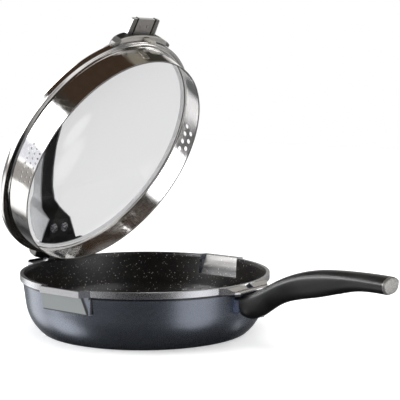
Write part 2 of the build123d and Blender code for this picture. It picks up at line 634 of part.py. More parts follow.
def bridge_solid(depth, inset, floor):
    """The bridge's body under its top line sunk by depth, drawn in by inset, down to a floor line."""
    rise = PAN_HEIGHT
    top = sink(BRIDGE_TOP, depth)
    upper = Spline(*[(x, 0, z + rise) for x, z in top])
    start, end = upper @ 0, upper @ 1
    if floor is None:
        low = Polyline(end, (end.X, 0, rise), (start.X, 0, rise), start)
        outline = [upper, low]
    else:
        lower = Spline(*[(x, 0, z + rise) for x, z in floor])
        near, far = lower @ 0, lower @ 1
        outline = [upper, Polyline(end, (end.X, 0, rise), (far.X, 0, rise), far), lower,
                   Polyline(near, (near.X, 0, rise), (start.X, 0, rise), start)]
    body = extrude(make_face(outline), amount=80, dir=(0, 1, 0)).moved(Location((0, -40, 0)))
    mid, foot, rear = BRIDGE_HALF_WIDTH - inset, BRIDGE_INNER_HALF - inset, BRIDGE_OUTER_HALF - inset
    half = [(-140, rear + 6), (-124, rear), (-FOOT_INNER_X, foot), (-98, mid + 1.6), (-84, mid),
            (84, mid), (98, mid + 1.6), (FOOT_INNER_X, foot), (124, rear), (140, rear + 6)]
    return body & plate(half + [(x, -y) for x, y in reversed(half)], PAN_HEIGHT - 6, PAN_HEIGHT + 120)


def tongue(sign, play):
    """The curved tongue under a foot, parallel to the glass, grown by play all round."""
    low = dome(dome_radius + FOOT_CLEARANCE - play)
    high = dome(dome_radius + FOOT_CLEARANCE + TONGUE_THICKNESS + play)
    x_low, x_high = sorted((sign * (TONGUE_INNER_X - play), sign * (CLIP_INNER_RADIUS + 4)))
    half = TONGUE_HALF + play
    return (high - low) & block(x_low, x_high, -half, half, PAN_HEIGHT, PAN_HEIGHT + 40)


def bridge_limits(body):
    """Cuts the bridge back to the clips at both ends and to its clearance over the glass."""
    outside = Cylinder(CLIP_INNER_RADIUS + 40, 200) - Cylinder(CLIP_INNER_RADIUS - CLIP_GAP, 202)
    return body - outside.moved(Location((0, 0, PAN_HEIGHT))) - dome(dome_radius + FOOT_CLEARANCE)


def lid_handle_shell():
    """The grey lacquered shell: top, sides and foot ends of the bridge, open below."""
    body = bridge_solid(0, 0, BRIDGE_UNDER) - bridge_solid(BRIDGE_SHELL, BRIDGE_SHELL, None)
    return one(bridge_limits(body) - [tongue(-1, CLIP_GAP), tongue(1, CLIP_GAP)])


def lid_handle_core():
    """The black core in the shell: a channel open below, and a foot at each end with the screw holes."""
    gap = BRIDGE_SHELL + SEAT_GAP
    body = bridge_solid(0, 0, BRIDGE_UNDER) & bridge_solid(gap, gap, None)
    wall = gap + BRIDGE_CORE
    channel = bridge_solid(wall, wall, None) & block(-94, 92, -40, 40, PAN_HEIGHT, PAN_HEIGHT + 120)
    body = bridge_limits(body) - [channel, tongue(-1, CLIP_GAP), tongue(1, CLIP_GAP)]
    for sign in (-1, 1):
        for plane in foot_screw_planes(sign):
            depth = TONGUE_THICKNESS + FOOT_SCREW_BITE + SEAT_GAP
            body = body - plane * Cylinder(FOOT_SCREW_RADIUS + SEAT_GAP, 2 * depth)
    return one(body)


def clip_body(sign, radius, half, top_z, skirt_z, rounding):
    """A block that follows the ring over its channel, with a skirt outside it and the foot's tongue."""
    top = ring_sector(CLIP_INNER_RADIUS, radius, clip_low, top_z, sign, half)
    outer = [edge for edge in top.edges().group_by(Axis.Z)[-1] if edge.center().length > radius * 0.97]
    top = fillet(outer, rounding)
    skirt = ring_sector(clip_skirt_radius, radius, skirt_z, clip_low + 0.5, sign, half)
    body = top + skirt + tongue(sign, 0)
    for plane in foot_screw_planes(sign):
        body = body - plane * Cylinder(FOOT_SCREW_RADIUS + RUNNING_GAP, 12)
    return body


def hinge_clip():
    """The hinge end's clip, with the two outer knuckles that hold the pin."""
    body = clip_body(-1, HINGE_CLIP_RADIUS, HINGE_CLIP_HALF, HINGE_CLIP_TOP_Z, HINGE_CLIP_SKIRT_Z,
                     HINGE_CLIP_ROUNDING)
    gap = KNUCKLE_HALF + SIDE_GAP
    around = knuckle_radius + 0.8
    swept = along_y(around, HINGE_X, HINGE_Z, -gap, gap)
    window = block(-HINGE_CLIP_RADIUS - 5, HINGE_X + around, -gap, gap, HINGE_CLIP_SKIRT_Z - 5, HINGE_Z)
    behind = block(-HINGE_CLIP_RADIUS - 5, HINGE_X, -gap, gap, HINGE_Z - 1, HINGE_Z + around)
    bore = along_y(HINGE_PIN_RADIUS + SEAT_GAP / 2, HINGE_X, HINGE_Z,
                   -HINGE_CLIP_HALF - 1, HINGE_PIN_HALF + SIDE_GAP)
    return one(body - [swept, window, behind, bore])


def latch_housing():
    """The latch end's clip: two cheeks with the thumb lever between them, drawn in at its ends."""
    body = clip_body(1, LATCH_CLIP_RADIUS, LATCH_CLIP_HALF, LATCH_CLIP_TOP_Z, LATCH_CLIP_SKIRT_Z,
                     LATCH_CLIP_ROUNDING)
    gap = LEVER_ROOT_HALF + SIDE_GAP
    around = LEVER_HUB_RADIUS + 0.6
    pocket = block(LATCH_PIN_X - around, LATCH_CLIP_RADIUS + 5, -gap, gap, clip_low, LATCH_CLIP_TOP_Z + 5)
    hook_gap = HOOK_HALF + 0.6
    hook_window = block(FLANGE_RADIUS + 0.4, HOOK_BACK_X + HOOK_SHEET + 1.1, -hook_gap, hook_gap,
                        LATCH_CLIP_SKIRT_Z - 1, clip_low + 1)
    bore = along_y(LATCH_PIN_RADIUS + SEAT_GAP / 2, LATCH_PIN_X, LATCH_PIN_Z,
                   -LATCH_CLIP_HALF - 1, LATCH_PIN_HALF + SIDE_GAP)
    waist, past, tip = LATCH_CLIP_RADIUS - 0.8, LATCH_CLIP_RADIUS + 5, LATCH_CLIP_HALF + 1
    ends = []
    for side in (-1, 1):
        outline = [(waist, side * 32), (past, side * 26), (past, side * tip),
                   (clip_skirt_radius - 8, side * tip)]
        ends.append(plate(outline, PAN_HEIGHT - 5, LATCH_CLIP_TOP_Z + 5))
    return one(body - [pocket, hook_window, bore] - ends)


def rivet_holes():
    """The two rivet holes through the lever and the hook's plate."""
    x = LEVER_REACH - HOOK_RIVET_INSET
    hole = Cylinder(HOOK_RIVET_RADIUS + SEAT_GAP, 4 * LEVER_THICKNESS)
    return [Location((x, y, LEVER_BOTTOM_Z)) * hole for y in (-HOOK_RIVET_Y, HOOK_RIVET_Y)]


def spring_length():
    """Length of the latch spring along its pin."""
    return (SPRING_WIRE + SPRING_GAP) * SPRING_TURNS + SPRING_WIRE


def latch_lever():
    """The thumb lever: a flat tab outside the clip, a hub on the pin and two ribs round its edge."""
    hub = along_y(LEVER_HUB_RADIUS, LATCH_PIN_X, LATCH_PIN_Z, -LEVER_ROOT_HALF, LEVER_ROOT_HALF)
    top_z = LEVER_BOTTOM_Z + LEVER_THICKNESS
    corner = 1.5
    root, end = LEVER_ROOT_HALF, LEVER_END_HALF
    outline = [(LATCH_PIN_X, -root), (LEVER_REACH - corner, -end), (LEVER_REACH, -end + corner),
               (LEVER_REACH, end - corner), (LEVER_REACH - corner, end), (LATCH_PIN_X, root)]
    tab = plate(outline, LEVER_BOTTOM_Z, top_z)
    seat = block(HOOK_BACK_X - SEAT_GAP, LEVER_REACH - 3 + SEAT_GAP, -HOOK_PLATE_HALF - SEAT_GAP,
                 HOOK_PLATE_HALF + SEAT_GAP, LEVER_BOTTOM_Z - 5, LEVER_BOTTOM_Z + HOOK_SHEET + SEAT_GAP)
    rib_half = LEVER_RIB_WIDTH / 2
    ribs = [block(LATCH_CLIP_RADIUS + 0.6, LEVER_REACH + LEVER_RIB_PROUD, y - rib_half, y + rib_half,
                  LEVER_BOTTOM_Z - LEVER_RIB_PROUD, top_z) for y in (-LEVER_RIB_Y, LEVER_RIB_Y)]
    room = spring_length() / 2 + SIDE_GAP
    spring_room = along_y(LEVER_HUB_RADIUS + 1, LATCH_PIN_X, LATCH_PIN_Z, SPRING_Y - room, SPRING_Y + room)
    bore = along_y(LATCH_PIN_RADIUS + RUNNING_GAP, LATCH_PIN_X, LATCH_PIN_Z, -LEVER_ROOT_HALF - 1,
                   LEVER_ROOT_HALF + 1)
    return one(hub + tab + ribs - [seat, spring_room, bore] - rivet_holes())


def latch_hook():
    """The steel hook under the tab: a plate, a shank through the ledge's slot and its nose."""
    top_z = LEVER_BOTTOM_Z + HOOK_SHEET
    front_x = HOOK_BACK_X + HOOK_SHEET
    tip_z = hook_tip_z()
    catch_z = tip_z + HOOK_NOSE_DEPTH
    shank = slab([(HOOK_BACK_X, top_z), (front_x, top_z), (front_x, catch_z),
                  (front_x + HOOK_NOSE, catch_z - 0.1), (front_x, tip_z), (HOOK_BACK_X, tip_z)],
                 -HOOK_HALF, HOOK_HALF)
    under_tab = block(HOOK_BACK_X, LEVER_REACH - 3, -HOOK_PLATE_HALF, HOOK_PLATE_HALF,
                      LEVER_BOTTOM_Z, top_z)
    return one(shank + under_tab - rivet_holes())


def hook_rivets():
    """Two rivets that hold the hook's plate under the tab."""
    rivets = []
    for y in (-HOOK_RIVET_Y, HOOK_RIVET_Y):
        shank = Cylinder(HOOK_RIVET_RADIUS, LEVER_THICKNESS, align=(Align.CENTER, Align.CENTER, Align.MIN))
        head = Cylinder(HOOK_RIVET_HEAD, HOOK_RIVET_HEAD_HEIGHT,
                        align=(Align.CENTER, Align.CENTER, Align.MAX))
        place = Location((LEVER_REACH - HOOK_RIVET_INSET, y, LEVER_BOTTOM_Z - SEAT_GAP))
        rivets.append(one(place * (shank + head)))
    return rivets


def latch_spring():
    """The torsion spring on the latch pin: a close coil inside the lever's hub."""
    mean_radius = LATCH_PIN_RADIUS + FIT_GAP + SPRING_WIRE / 2
    pitch = SPRING_WIRE + SPRING_GAP
    helix = Helix(pitch=pitch, height=pitch * SPRING_TURNS, radius=mean_radius)
    section = Plane(origin=helix @ 0, z_dir=helix % 0) * Circle(SPRING_WIRE / 2)
    coil = sweep(section, path=helix)
    place = Location((LATCH_PIN_X, SPRING_Y + pitch * SPRING_TURNS / 2, LATCH_PIN_Z))
    return one(place * Rotation(90, 0, 0) * coil)


def hinge_pin():
    """The pin through the three knuckles."""
    return one(along_y(HINGE_PIN_RADIUS, HINGE_X, HINGE_Z, -HINGE_PIN_HALF, HINGE_PIN_HALF))


def latch_pin():
    """The pin that the thumb lever turns on."""
    return one(along_y(LATCH_PIN_RADIUS, LATCH_PIN_X, LATCH_PIN_Z, -LATCH_PIN_HALF, LATCH_PIN_HALF))


def foot_washers(sign):
    """The two washers under one foot's tongue."""
    washer = Cylinder(WASHER_RADIUS, WASHER_THICKNESS, align=(Align.CENTER, Align.CENTER, Align.MAX))
    washer = washer - Cylinder(FOOT_SCREW_RADIUS + 2 * RUNNING_GAP, 10)
    return [one(plane * (Location((0, 0, -washer_drop)) * washer)) for plane in foot_screw_planes(sign)]


def foot_screws(sign):
    """The two screws that hold one clip's tongue up against its foot."""
    seat = -WASHER_THICKNESS - SEAT_GAP - washer_drop
    bolt = screw(SCREW_HEAD_RADIUS, SCREW_HEAD_HEIGHT, FOOT_SCREW_RADIUS,
                 TONGUE_THICKNESS + FOOT_SCREW_BITE - seat)
    return [one(plane * (Location((0, 0, seat)) * bolt)) for plane in foot_screw_planes(sign)]


def build_nodes():
    """Makes every node, with the lid's pieces swung open."""
    keep("pan_body", pan_body())
    keep("base_disc", base_disc())
    keep("handle_ferrule", handle_ferrule())
    keep("long_handle", long_handle())
    keep("handle_end_cap", handle_end_cap())
    keep("handle_screw", handle_screw())
    keep("hinge_bracket", hinge_bracket())
    keep("bracket_rivets", *bracket_rivets())
    keep("hinge_pin", swing(hinge_pin()))
    keep("lid_ring", swing(lid_ring()))
    keep("glass_dome", swing(glass_dome()))
    keep("lid_handle_shell", swing(lid_handle_shell()))
    keep("lid_handle_core", swing(lid_handle_core()))
    keep("hinge_clip", swing(hinge_clip()))
    keep("latch_housing", swing(latch_housing()))
    for end, sign in (("rear", -1), ("front", 1)):
        keep(end + "_foot_washers", *[swing(washer) for washer in foot_washers(sign)])
        keep(end + "_foot_screws", *[swing(bolt) for bolt in foot_screws(sign)])
    keep("latch_pin", swing(latch_pin()))
    keep("latch_lever", swing(latch_lever()))
    keep("latch_hook", swing(latch_hook()))
    keep("hook_rivets", *[swing(rivet) for rivet in hook_rivets()])
    keep("latch_spring", swing(latch_spring()))


build_nodes()
os.makedirs("parts", exist_ok=True)
for name, solids in NODES.items():
    shape = solids[0] if len(solids) == 1 else Compound(children=solids)
    export_step(shape, "parts/" + name + ".step")
    print(name, len(solids), round(sum(solid.volume for solid in solids)))
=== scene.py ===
import bpy
import numpy as np
from math import asin, cos, pi, radians, sin, sqrt
from mathutils import Matrix, Vector


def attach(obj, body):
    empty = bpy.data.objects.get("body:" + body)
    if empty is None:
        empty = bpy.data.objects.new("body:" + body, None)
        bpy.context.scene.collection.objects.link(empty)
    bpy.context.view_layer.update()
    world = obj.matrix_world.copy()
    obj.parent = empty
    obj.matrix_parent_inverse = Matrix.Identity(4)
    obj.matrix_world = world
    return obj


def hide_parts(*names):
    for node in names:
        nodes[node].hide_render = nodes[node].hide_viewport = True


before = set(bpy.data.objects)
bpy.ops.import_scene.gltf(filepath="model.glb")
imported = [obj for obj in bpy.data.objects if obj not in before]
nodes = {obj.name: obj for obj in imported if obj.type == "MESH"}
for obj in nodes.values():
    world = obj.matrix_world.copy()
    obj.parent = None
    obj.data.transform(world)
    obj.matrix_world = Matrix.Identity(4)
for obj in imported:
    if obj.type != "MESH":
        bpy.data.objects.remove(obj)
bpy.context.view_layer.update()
scene = bpy.context.scene
scene.view_settings.view_transform = "Standard"

# The camera stands a little above the rim, between the near spout and the long handle. It is a long
# lens, so the pan's ellipse and the open lid keep the proportions of the photograph.
PHOTO_PIXELS = 400
FOCAL_PIXELS = 1175.0
SENSOR_MM = 36.0
CAMERA_AZIMUTH = 37.1
CAMERA_ELEVATION = 6.15
CAMERA_ROLL = 0.18
CAMERA_DISTANCE = 1.2878
CAMERA_AIM = Vector((0.07785, 0.0, 0.1519))

camera_data = bpy.data.cameras.new("photo_camera")
camera_data.sensor_width = SENSOR_MM
camera_data.sensor_fit = "HORIZONTAL"
camera_data.lens = FOCAL_PIXELS * SENSOR_MM / PHOTO_PIXELS
camera = bpy.data.objects.new("photo_camera", camera_data)
scene.collection.objects.link(camera)
azimuth, elevation, roll = radians(CAMERA_AZIMUTH), radians(CAMERA_ELEVATION), radians(CAMERA_ROLL)
back = Vector((sin(azimuth) * cos(elevation), -cos(azimuth) * cos(elevation), sin(elevation)))
right = Vector((cos(azimuth), sin(azimuth), 0.0))
up = back.cross(right)
right, up = cos(roll) * right + sin(roll) * up, -sin(roll) * right + cos(roll) * up
turn = Matrix((right, up, back)).transposed().to_4x4()
camera.matrix_world = Matrix.Translation(CAMERA_AIM + back * CAMERA_DISTANCE) @ turn
scene.camera = camera


# The pan is one aluminium casting: bowl, spouts, latch ledge, hinge tab, lug and tang. Its outside is
# sprayed with a blue-grey metallic lacquer, the rim band is turned bare and bright, and the inside,
# the rim top and the ledge carry a black-brown non-stick coating full of pale mineral specks.
def tone(red, green, blue):
    """A colour written in the 0 to 255 steps of a picture, as the linear values a shader takes."""
    steps = np.array([red, green, blue]) / 255
    linear = np.where(steps <= 0.04045, steps / 12.92, ((steps + 0.055) / 1.055) ** 2.4)
    return (*map(float, linear), 1.0)


class Finish:
    """A surface finish being mixed: one Principled shader, and short calls that add its patterns."""

    def __init__(self, name, metal=0.0):
        self.material = bpy.data.materials.new(name)
        self.material.use_nodes = True
        self.tree = self.material.node_tree
        self.shader = self.tree.nodes["Principled BSDF"]
        self.set("Metallic", metal)
        where = self.add("ShaderNodeTexCoord")
        self.place, self.facing = where.outputs["Object"], where.outputs["Normal"]

    def plug(self, socket, value):
        """Gives a socket a number or a colour, or links it to a pattern."""
        if isinstance(value, bpy.types.NodeSocket):
            self.tree.links.new(value, socket)
        else:
            socket.default_value = value

    def add(self, kind, inputs=None, **settings):
        """A node with its settings and its inputs."""
        node = self.tree.nodes.new(kind)
        for name, value in settings.items():
            setattr(node, name, value)
        for name, value in (inputs or {}).items():
            self.plug(node.inputs[name], value)
        return node

    def set(self, name, value):
        """Gives the shader a number, a colour or a pattern."""
        self.plug(self.shader.inputs[name], value)
        return self

    def math(self, operation, a, b=0.0, c=0.0):
        """One step of arithmetic."""
        return self.add("ShaderNodeMath", {0: a, 1: b, 2: c}, operation=operation).outputs[0]

    def times(self, first, *others):
        """The product: for masks, where all of them are 1."""
        for other in others:
            first = self.math("MULTIPLY", first, other)
        return first

    def most(self, first, *others):
        """The largest: for masks, where any of them is 1."""
        for other in others:
            first = self.math("MAXIMUM", first, other)
        return first

    def scaled(self, value, factor, start):
        """A value times a factor, added to a start."""
        return self.math("MULTIPLY_ADD", value, factor, start)

    def rest(self, share):
        """What a share leaves of 1."""
        return self.math("SUBTRACT", 1.0, share)

    def axes(self, vector):
        """The three parts of a position or a direction."""
        return self.add("ShaderNodeSeparateXYZ", {0: vector}).outputs

    def from_axis(self, x, y):
        """The distance from the z axis, the square root of x^2 + y^2."""
        return self.math("SQRT", self.math("ADD", self.times(x, x), self.times(y, y)))

    def outward(self, x, y, nx, ny):
        """How far a face looks away from the z axis: (x nx + y ny) over the distance from the axis."""
        along = self.math("ADD", self.times(x, nx), self.times(y, ny))
        return self.math("DIVIDE", along, self.most(self.from_axis(x, y), 0.001))

    def step(self, value, low, high, start=0.0, end=1.0):
        """Start at low and before, end at high and past it, and an even blend between."""
        span = {"Value": value, "From Min": low, "From Max": high, "To Min": start, "To Max": end}
        return self.add("ShaderNodeMapRange", span).outputs["Result"]

    def line(self, value, middle, inner, outer):
        """1 up to the inner distance either side of a middle, and 0 from the outer distance on."""
        away = self.math("ABSOLUTE", self.math("SUBTRACT", value, middle))
        return self.step(away, outer, inner)

    def stretched(self, size):
        """Positions divided by a size in metres along each axis, so a pattern repeats at that size."""
        scale = tuple(1 / length for length in size)
        return self.add("ShaderNodeMapping", {"Vector": self.place, "Scale": scale}).outputs["Vector"]

    def noise(self, size, detail=2.0, rough=0.5, vector=None):
        """Cloudy noise from 0 to 1 with lumps of a size in metres."""
        inputs = {"Vector": vector or self.place, "Scale": 1 / size, "Detail": detail, "Roughness": rough}
        return self.add("ShaderNodeTexNoise", inputs).outputs["Fac"]

    def grains(self, size, radius, share):
        """Round grains, at most one in each cell of a size in metres, on a share of the cells: a mask,
        and a random shade for each grain. A grain's radius is 0.45 to 1 times the radius in cells."""
        cells = self.add("ShaderNodeTexVoronoi", {"Vector": self.place, "Scale": 1 / size})
        chance = self.axes(cells.outputs["Color"])
        own = self.step(chance[0], 0.0, 1.0, radius * 0.45, radius)
        spot = self.step(self.math("SUBTRACT", own, cells.outputs["Distance"]), 0.0, radius * 0.35)
        kept = self.math("LESS_THAN", chance[1], share)
        return self.times(spot, kept), chance[2]

    def mix(self, factor, first, second):
        """The first colour where the factor is 0, the second where it is 1."""
        node = self.add("ShaderNodeMix", {"Factor": factor}, data_type="RGBA")
        self.plug(node.inputs[6], first)
        self.plug(node.inputs[7], second)
        return node.outputs[2]

    def mottle(self, pattern, first, second):
        """Two colours that change over with the middle part of a noise."""
        return self.mix(self.step(pattern, 0.3, 0.7), first, second)

    def polish(self, pattern, low, high):
        """Roughness that goes from low to high with the middle part of a noise."""
        return self.set("Roughness", self.step(pattern, 0.3, 0.7, low, high))

    def bump(self, *layers):
        """Raises the surface by each layer's pattern, given with its full height in metres."""
        normal = None
        for height, distance in layers:
            inputs = {"Height": height, "Distance": distance, "Strength": 1.0}
            if normal:
                inputs["Normal"] = normal
            normal = self.add("ShaderNodeBump", inputs).outputs["Normal"]
        return self.set("Normal", normal)


def finish_nodes(finish, *names):
    """Gives CAD nodes this finish."""
    for name in names:
        mesh = nodes[name].data
        mesh.materials.clear()
        mesh.materials.append(finish.material)


# Places in metres where the casting's finishes and its painted shade lines meet
FOOT_TOP, LUG_TOP, LUG_SIDE, BOWL_REACH = 0.0016, 0.054, 0.06, 0.1386
BAND_LOW, BAND_SHADE_LOW, BAND_SHADE_HIGH = 0.0593, 0.0558, 0.0594
LEDGE_START, SPOUT_START, FAR_SPOUT_START, LIP_EDGE = 0.1405, 0.1362, 0.1375, 0.1462
SPOUT_LOW, SPOUT_SIDE, SPOUT_LEAN = 0.0408, 0.0427, 0.154
LIP_START, LIP_ROOT, LIP_SHADED_FACET = -0.1285, 0.0382, (0.0322, 0.0328)

casting = Finish("cast_lacquer_and_nonstick")
x, y, z = casting.axes(casting.place)
nx, ny, nz = casting.axes(casting.facing)
aside = casting.math("ABSOLUTE", y)
outward = casting.outward(x, y, nx, ny)

# The coating lies on what faces up, except on the lug. A face that looks outward has to face up more.
upward = casting.scaled(outward, -0.3, nz)
off_lug = casting.most(casting.step(z, LUG_TOP, LUG_TOP + 0.0005),
                       casting.step(aside, LUG_SIDE, LUG_SIDE + 0.001),
                       casting.step(casting.from_axis(x, y), BOWL_REACH, BOWL_REACH - 0.0002))
coated = casting.times(casting.step(upward, 0.15, 0.3), off_lug)
uncoated = casting.rest(coated)

# Bare metal shows on the turned band and on the foot
banded = casting.times(casting.step(z, BAND_LOW - 0.0002, BAND_LOW + 0.0001),
                       casting.step(outward, 0.4, 0.6))
bare = casting.times(casting.most(banded, casting.step(z, FOOT_TOP + 0.0006, FOOT_TOP)), uncoated)

# Painted shade: dark lines for the shadow under the band's overhang, along the near spout's lower edge
# and side, and at its lip's root. The spouts' heights are lifted out of the band shadow's.
below_band = casting.step(z, BAND_LOW, BAND_LOW - 0.0003)
spout = casting.times(casting.step(aside, SPOUT_START, SPOUT_START + 0.001), below_band)
wall_height = casting.scaled(spout, 0.02, z)
band_shade = casting.times(casting.step(wall_height, BAND_SHADE_LOW, BAND_SHADE_LOW + 0.001),
                       casting.step(wall_height, BAND_SHADE_HIGH, BAND_SHADE_HIGH - 0.0002))
slant = casting.scaled(z, SPOUT_LEAN, x)
crease_shade = casting.most(casting.step(z, SPOUT_LOW + 0.0008, SPOUT_LOW),
                      casting.line(slant, SPOUT_SIDE, 0.0006, 0.0013))
near_crease_shade = casting.times(spout, casting.math("LESS_THAN", y, 0.0), crease_shade)
near_lip = casting.times(casting.step(y, LIP_START, LIP_START - 0.0015),
                         casting.step(z, SPOUT_LOW - 0.0006, SPOUT_LOW))
lip_root_shade = casting.times(casting.line(x, LIP_ROOT, 0.0006, 0.0011), near_lip, below_band)
shadow = casting.most(band_shade, near_crease_shade, lip_root_shade)
spout_face = casting.times(spout, casting.step(slant, SPOUT_SIDE + 0.0002, SPOUT_SIDE - 0.0002))
shaded_facet = casting.times(casting.step(x, *LIP_SHADED_FACET), casting.step(x, LIP_ROOT + 0.001, LIP_ROOT + 0.0006),
                      near_lip)

flakes = casting.noise(0.0007, detail=3.0)
cloud = casting.noise(0.03)
lacquer = casting.mottle(flakes, tone(118, 124, 136), tone(140, 146, 157))
lacquer = casting.mix(casting.step(cloud, 0.35, 0.75), lacquer, tone(130, 136, 147))
lacquer = casting.mix(spout_face, lacquer, tone(142, 147, 147))
# The painted shade lines are dark navy
lacquer = casting.mix(shadow, lacquer, tone(14, 16, 24))
turning = casting.noise(0.00035, vector=casting.stretched((0.05, 0.05, 0.5)))
silver = casting.mottle(turning, tone(214, 215, 218), tone(236, 236, 238))
lip_edge = casting.step(aside, LIP_EDGE, LIP_EDGE + 0.0004)
silver = casting.mix(lip_edge, silver, tone(168, 168, 171))
# Painted shade: the band's facet beside the near spout's lip is painted darker
silver = casting.mix(shaded_facet, silver, tone(96, 97, 102))

big, big_shade = casting.grains(0.0027, 0.25, 0.8)
small, _ = casting.grains(0.0014, 0.26, 0.75)
dark = casting.mix(casting.noise(0.004, detail=4.0), tone(12, 11, 10), tone(27, 24, 22))
pale = casting.mix(big_shade, tone(250, 247, 242), tone(186, 170, 152))
mineral = casting.mix(casting.times(small, 0.5), dark, tone(146, 134, 122))
mineral = casting.mix(big, mineral, pale)
ledge = casting.times(casting.step(x, LEDGE_START, LEDGE_START + 0.0015), coated)
mineral = casting.mix(casting.times(ledge, 0.8), mineral, tone(160, 156, 151))
# Painted highlight: the far spout's inner face is painted lighter, for the light that it reflects
far_spout_highlight = casting.times(casting.step(y, FAR_SPOUT_START, FAR_SPOUT_START + 0.0015), coated,
                          casting.step(z, 0.0655, 0.0645))
mineral = casting.mix(casting.times(far_spout_highlight, 0.5), mineral, tone(206, 203, 199))
casting.set("Base Color", casting.mix(coated, casting.mix(bare, lacquer, silver), mineral))

metal = casting.scaled(bare, 0.1, 0.9)
metal = casting.scaled(casting.times(lip_edge, bare), -0.8, metal)
metal = casting.scaled(spout, -0.35, metal)
metal = casting.times(metal, casting.rest(shadow), uncoated)
casting.set("Metallic", casting.scaled(far_spout_highlight, 0.35, metal))
sheen = casting.step(flakes, 0.2, 0.8, 0.24, 0.32)
sheen = casting.scaled(spout, 0.14, sheen)
casting.set("Roughness", casting.scaled(coated, 0.06, sheen))
casting.set("Coat Weight", 0.3).set("Coat Roughness", 0.12)
peel = casting.noise(0.0016)
casting.bump((casting.times(peel, coated), 0.00012), (casting.most(big, small), 0.00004),
             (casting.times(turning, banded), 0.00002))
finish_nodes(casting, "pan_body")

# The base disc is stainless steel, spun flat and pressed into the underside so that the pan works on
# an induction hob. Its face keeps the fine rings of the turning tool.
spun = Finish("spun_steel_disc", metal=1.0)
x, y, z = spun.axes(spun.place)
from_centre = spun.add("ShaderNodeCombineXYZ", {0: spun.from_axis(x, y), 2: z}).outputs[0]
rings = spun.noise(0.0006, detail=3.0, vector=from_centre)
spun.set("Base Color", spun.mottle(rings, tone(150, 150, 153), tone(196, 196, 198)))
spun.polish(spun.noise(0.02, detail=3.0), 0.26, 0.42)
spun.bump((rings, 0.00003))
finish_nodes(spun, "base_disc")

# The ferrule is a pressed aluminium cup, lacquered like the pan. It is pushed over the lug, and the
# long handle butts on it.
cup = Finish("ferrule_lacquer", metal=0.75)
grain = cup.noise(0.0008, detail=3.0)
cup.set("Base Color", cup.mix(grain, tone(132, 146, 178), tone(158, 170, 200)))
cup.polish(grain, 0.2, 0.34)
cup.bump((grain, 0.00002))
finish_nodes(cup, "handle_ferrule")


# The long handle is moulded in black phenolic: a shallow crowned top, a soft ridge down each side and
# a rounded underside. It slides over the tang and a screw in a counterbore from below holds it. Its
# skin has a painted grey highlight towards the ferrule, where it reflects the light.
def surface(name, body, points, finish, sharp, loop_rows=False):
    """Quads over a grid of points in millimetres. Each row is a closed section, and the rows run back to
    the first one or end in a face at both ends. The faces are turned outwards by the sign of the volume
    that they enclose, and edges sharper than an angle in degrees stay sharp."""
    rows, columns = points.shape[:2]
    index = np.arange(rows * columns).reshape(rows, columns)
    low, high = (index, np.roll(index, -1, 0)) if loop_rows else (index[:-1], index[1:])
    quads = np.stack([low, np.roll(low, -1, 1), np.roll(high, -1, 1), high], -1).reshape(-1, 4)
    places = points.reshape(-1, 3) * 0.001
    middle = places.mean(0)
    a, b, c, d = (places[quads[:, k]] - middle for k in range(4))
    volume = np.einsum("ij,ij->i", a, np.cross(b, c) + np.cross(c, d)).sum()
    faces = quads.tolist()
    if not loop_rows:
        faces += [index[0][::-1].tolist(), index[-1].tolist()]
    if volume < 0:
        faces = [face[::-1] for face in faces]
    mesh = bpy.data.meshes.new(name)
    mesh.from_pydata(places.tolist(), [], faces)
    mesh.shade_smooth()
    mesh.set_sharp_from_angle(angle=radians(sharp))
    mesh.materials.append(finish.material)
    piece = bpy.data.objects.new(name, mesh)
    scene.collection.objects.link(piece)
    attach(piece, body)
    return piece


def flowing(table, along):
    """Smooth columns through a table whose first column is the distance: between two rows a cubic that
    takes at each row the mean slope of its neighbours."""
    at, values = table[:, 0], table[:, 1:]
    slopes = np.gradient(values, at, axis=0)
    row = np.clip(np.searchsorted(at, along) - 1, 0, len(at) - 2)
    width = (at[row + 1] - at[row])[:, None]
    t = ((along - at[row]) / (at[row + 1] - at[row]))[:, None]
    return ((1 + 2 * t) * (1 - t) ** 2 * values[row] + t * (1 - t) ** 2 * width * slopes[row]
            + t * t * (3 - 2 * t) * values[row + 1] + t * t * (t - 1) * width * slopes[row + 1])


def soften(points, times):
    """Rounds the corners of closed sections: each point moves to a quarter, a half and a quarter of
    itself and its two neighbours, some times over."""
    for _ in range(times):
        points = (np.roll(points, 1, 1) + 2 * points + np.roll(points, -1, 1)) / 4
    return points


RIM = 142.0
HANDLE_START, HANDLE_END = 0.75, 169.8
# Distance from the rim, crest, side edge, underside and half width, in millimetres
HANDLE_STATIONS = np.array([
    (HANDLE_START, 54.0, 51.2, 30.8, 17.0), (9.0, 57.2, 53.6, 29.4, 17.2), (19.0, 62.6, 57.6, 32.6, 16.8),
    (29.0, 68.4, 62.8, 39.4, 16.0), (41.4, 75.1, 69.6, 47.6, 15.2), (54.0, 80.7, 75.6, 53.2, 14.5),
    (70.0, 86.1, 81.2, 57.6, 14.0), (90.0, 90.3, 85.0, 61.9, 14.0), (114.0, 92.3, 87.3, 68.2, 14.2),
    (137.0, 92.8, 87.6, 73.6, 14.8), (156.0, 92.6, 87.2, 74.6, 15.6), (HANDLE_END, 92.0, 86.7, 74.1, 16.0)])
# The end of the space under the ledge, its height at the rim and its fall, and the notch for the hook
GAP_END, GAP_TOP, GAP_FALL = 9.32, 57.4, 0.129
NOTCH_END, NOTCH_HALF, NOTCH_FLOOR = 7.7, 5.6, 53.2
# The screw's place, its counterbore's radius and seat, and how near a point is drawn onto the bore
SCREW_X, SCREW_BORE, SCREW_SEAT, BORE_CATCH = 159.0, 4.5, 35.4, 0.55
UNDER_SIDE = 50.0
TOP_POINTS, UNDER_POINTS = 44, 72


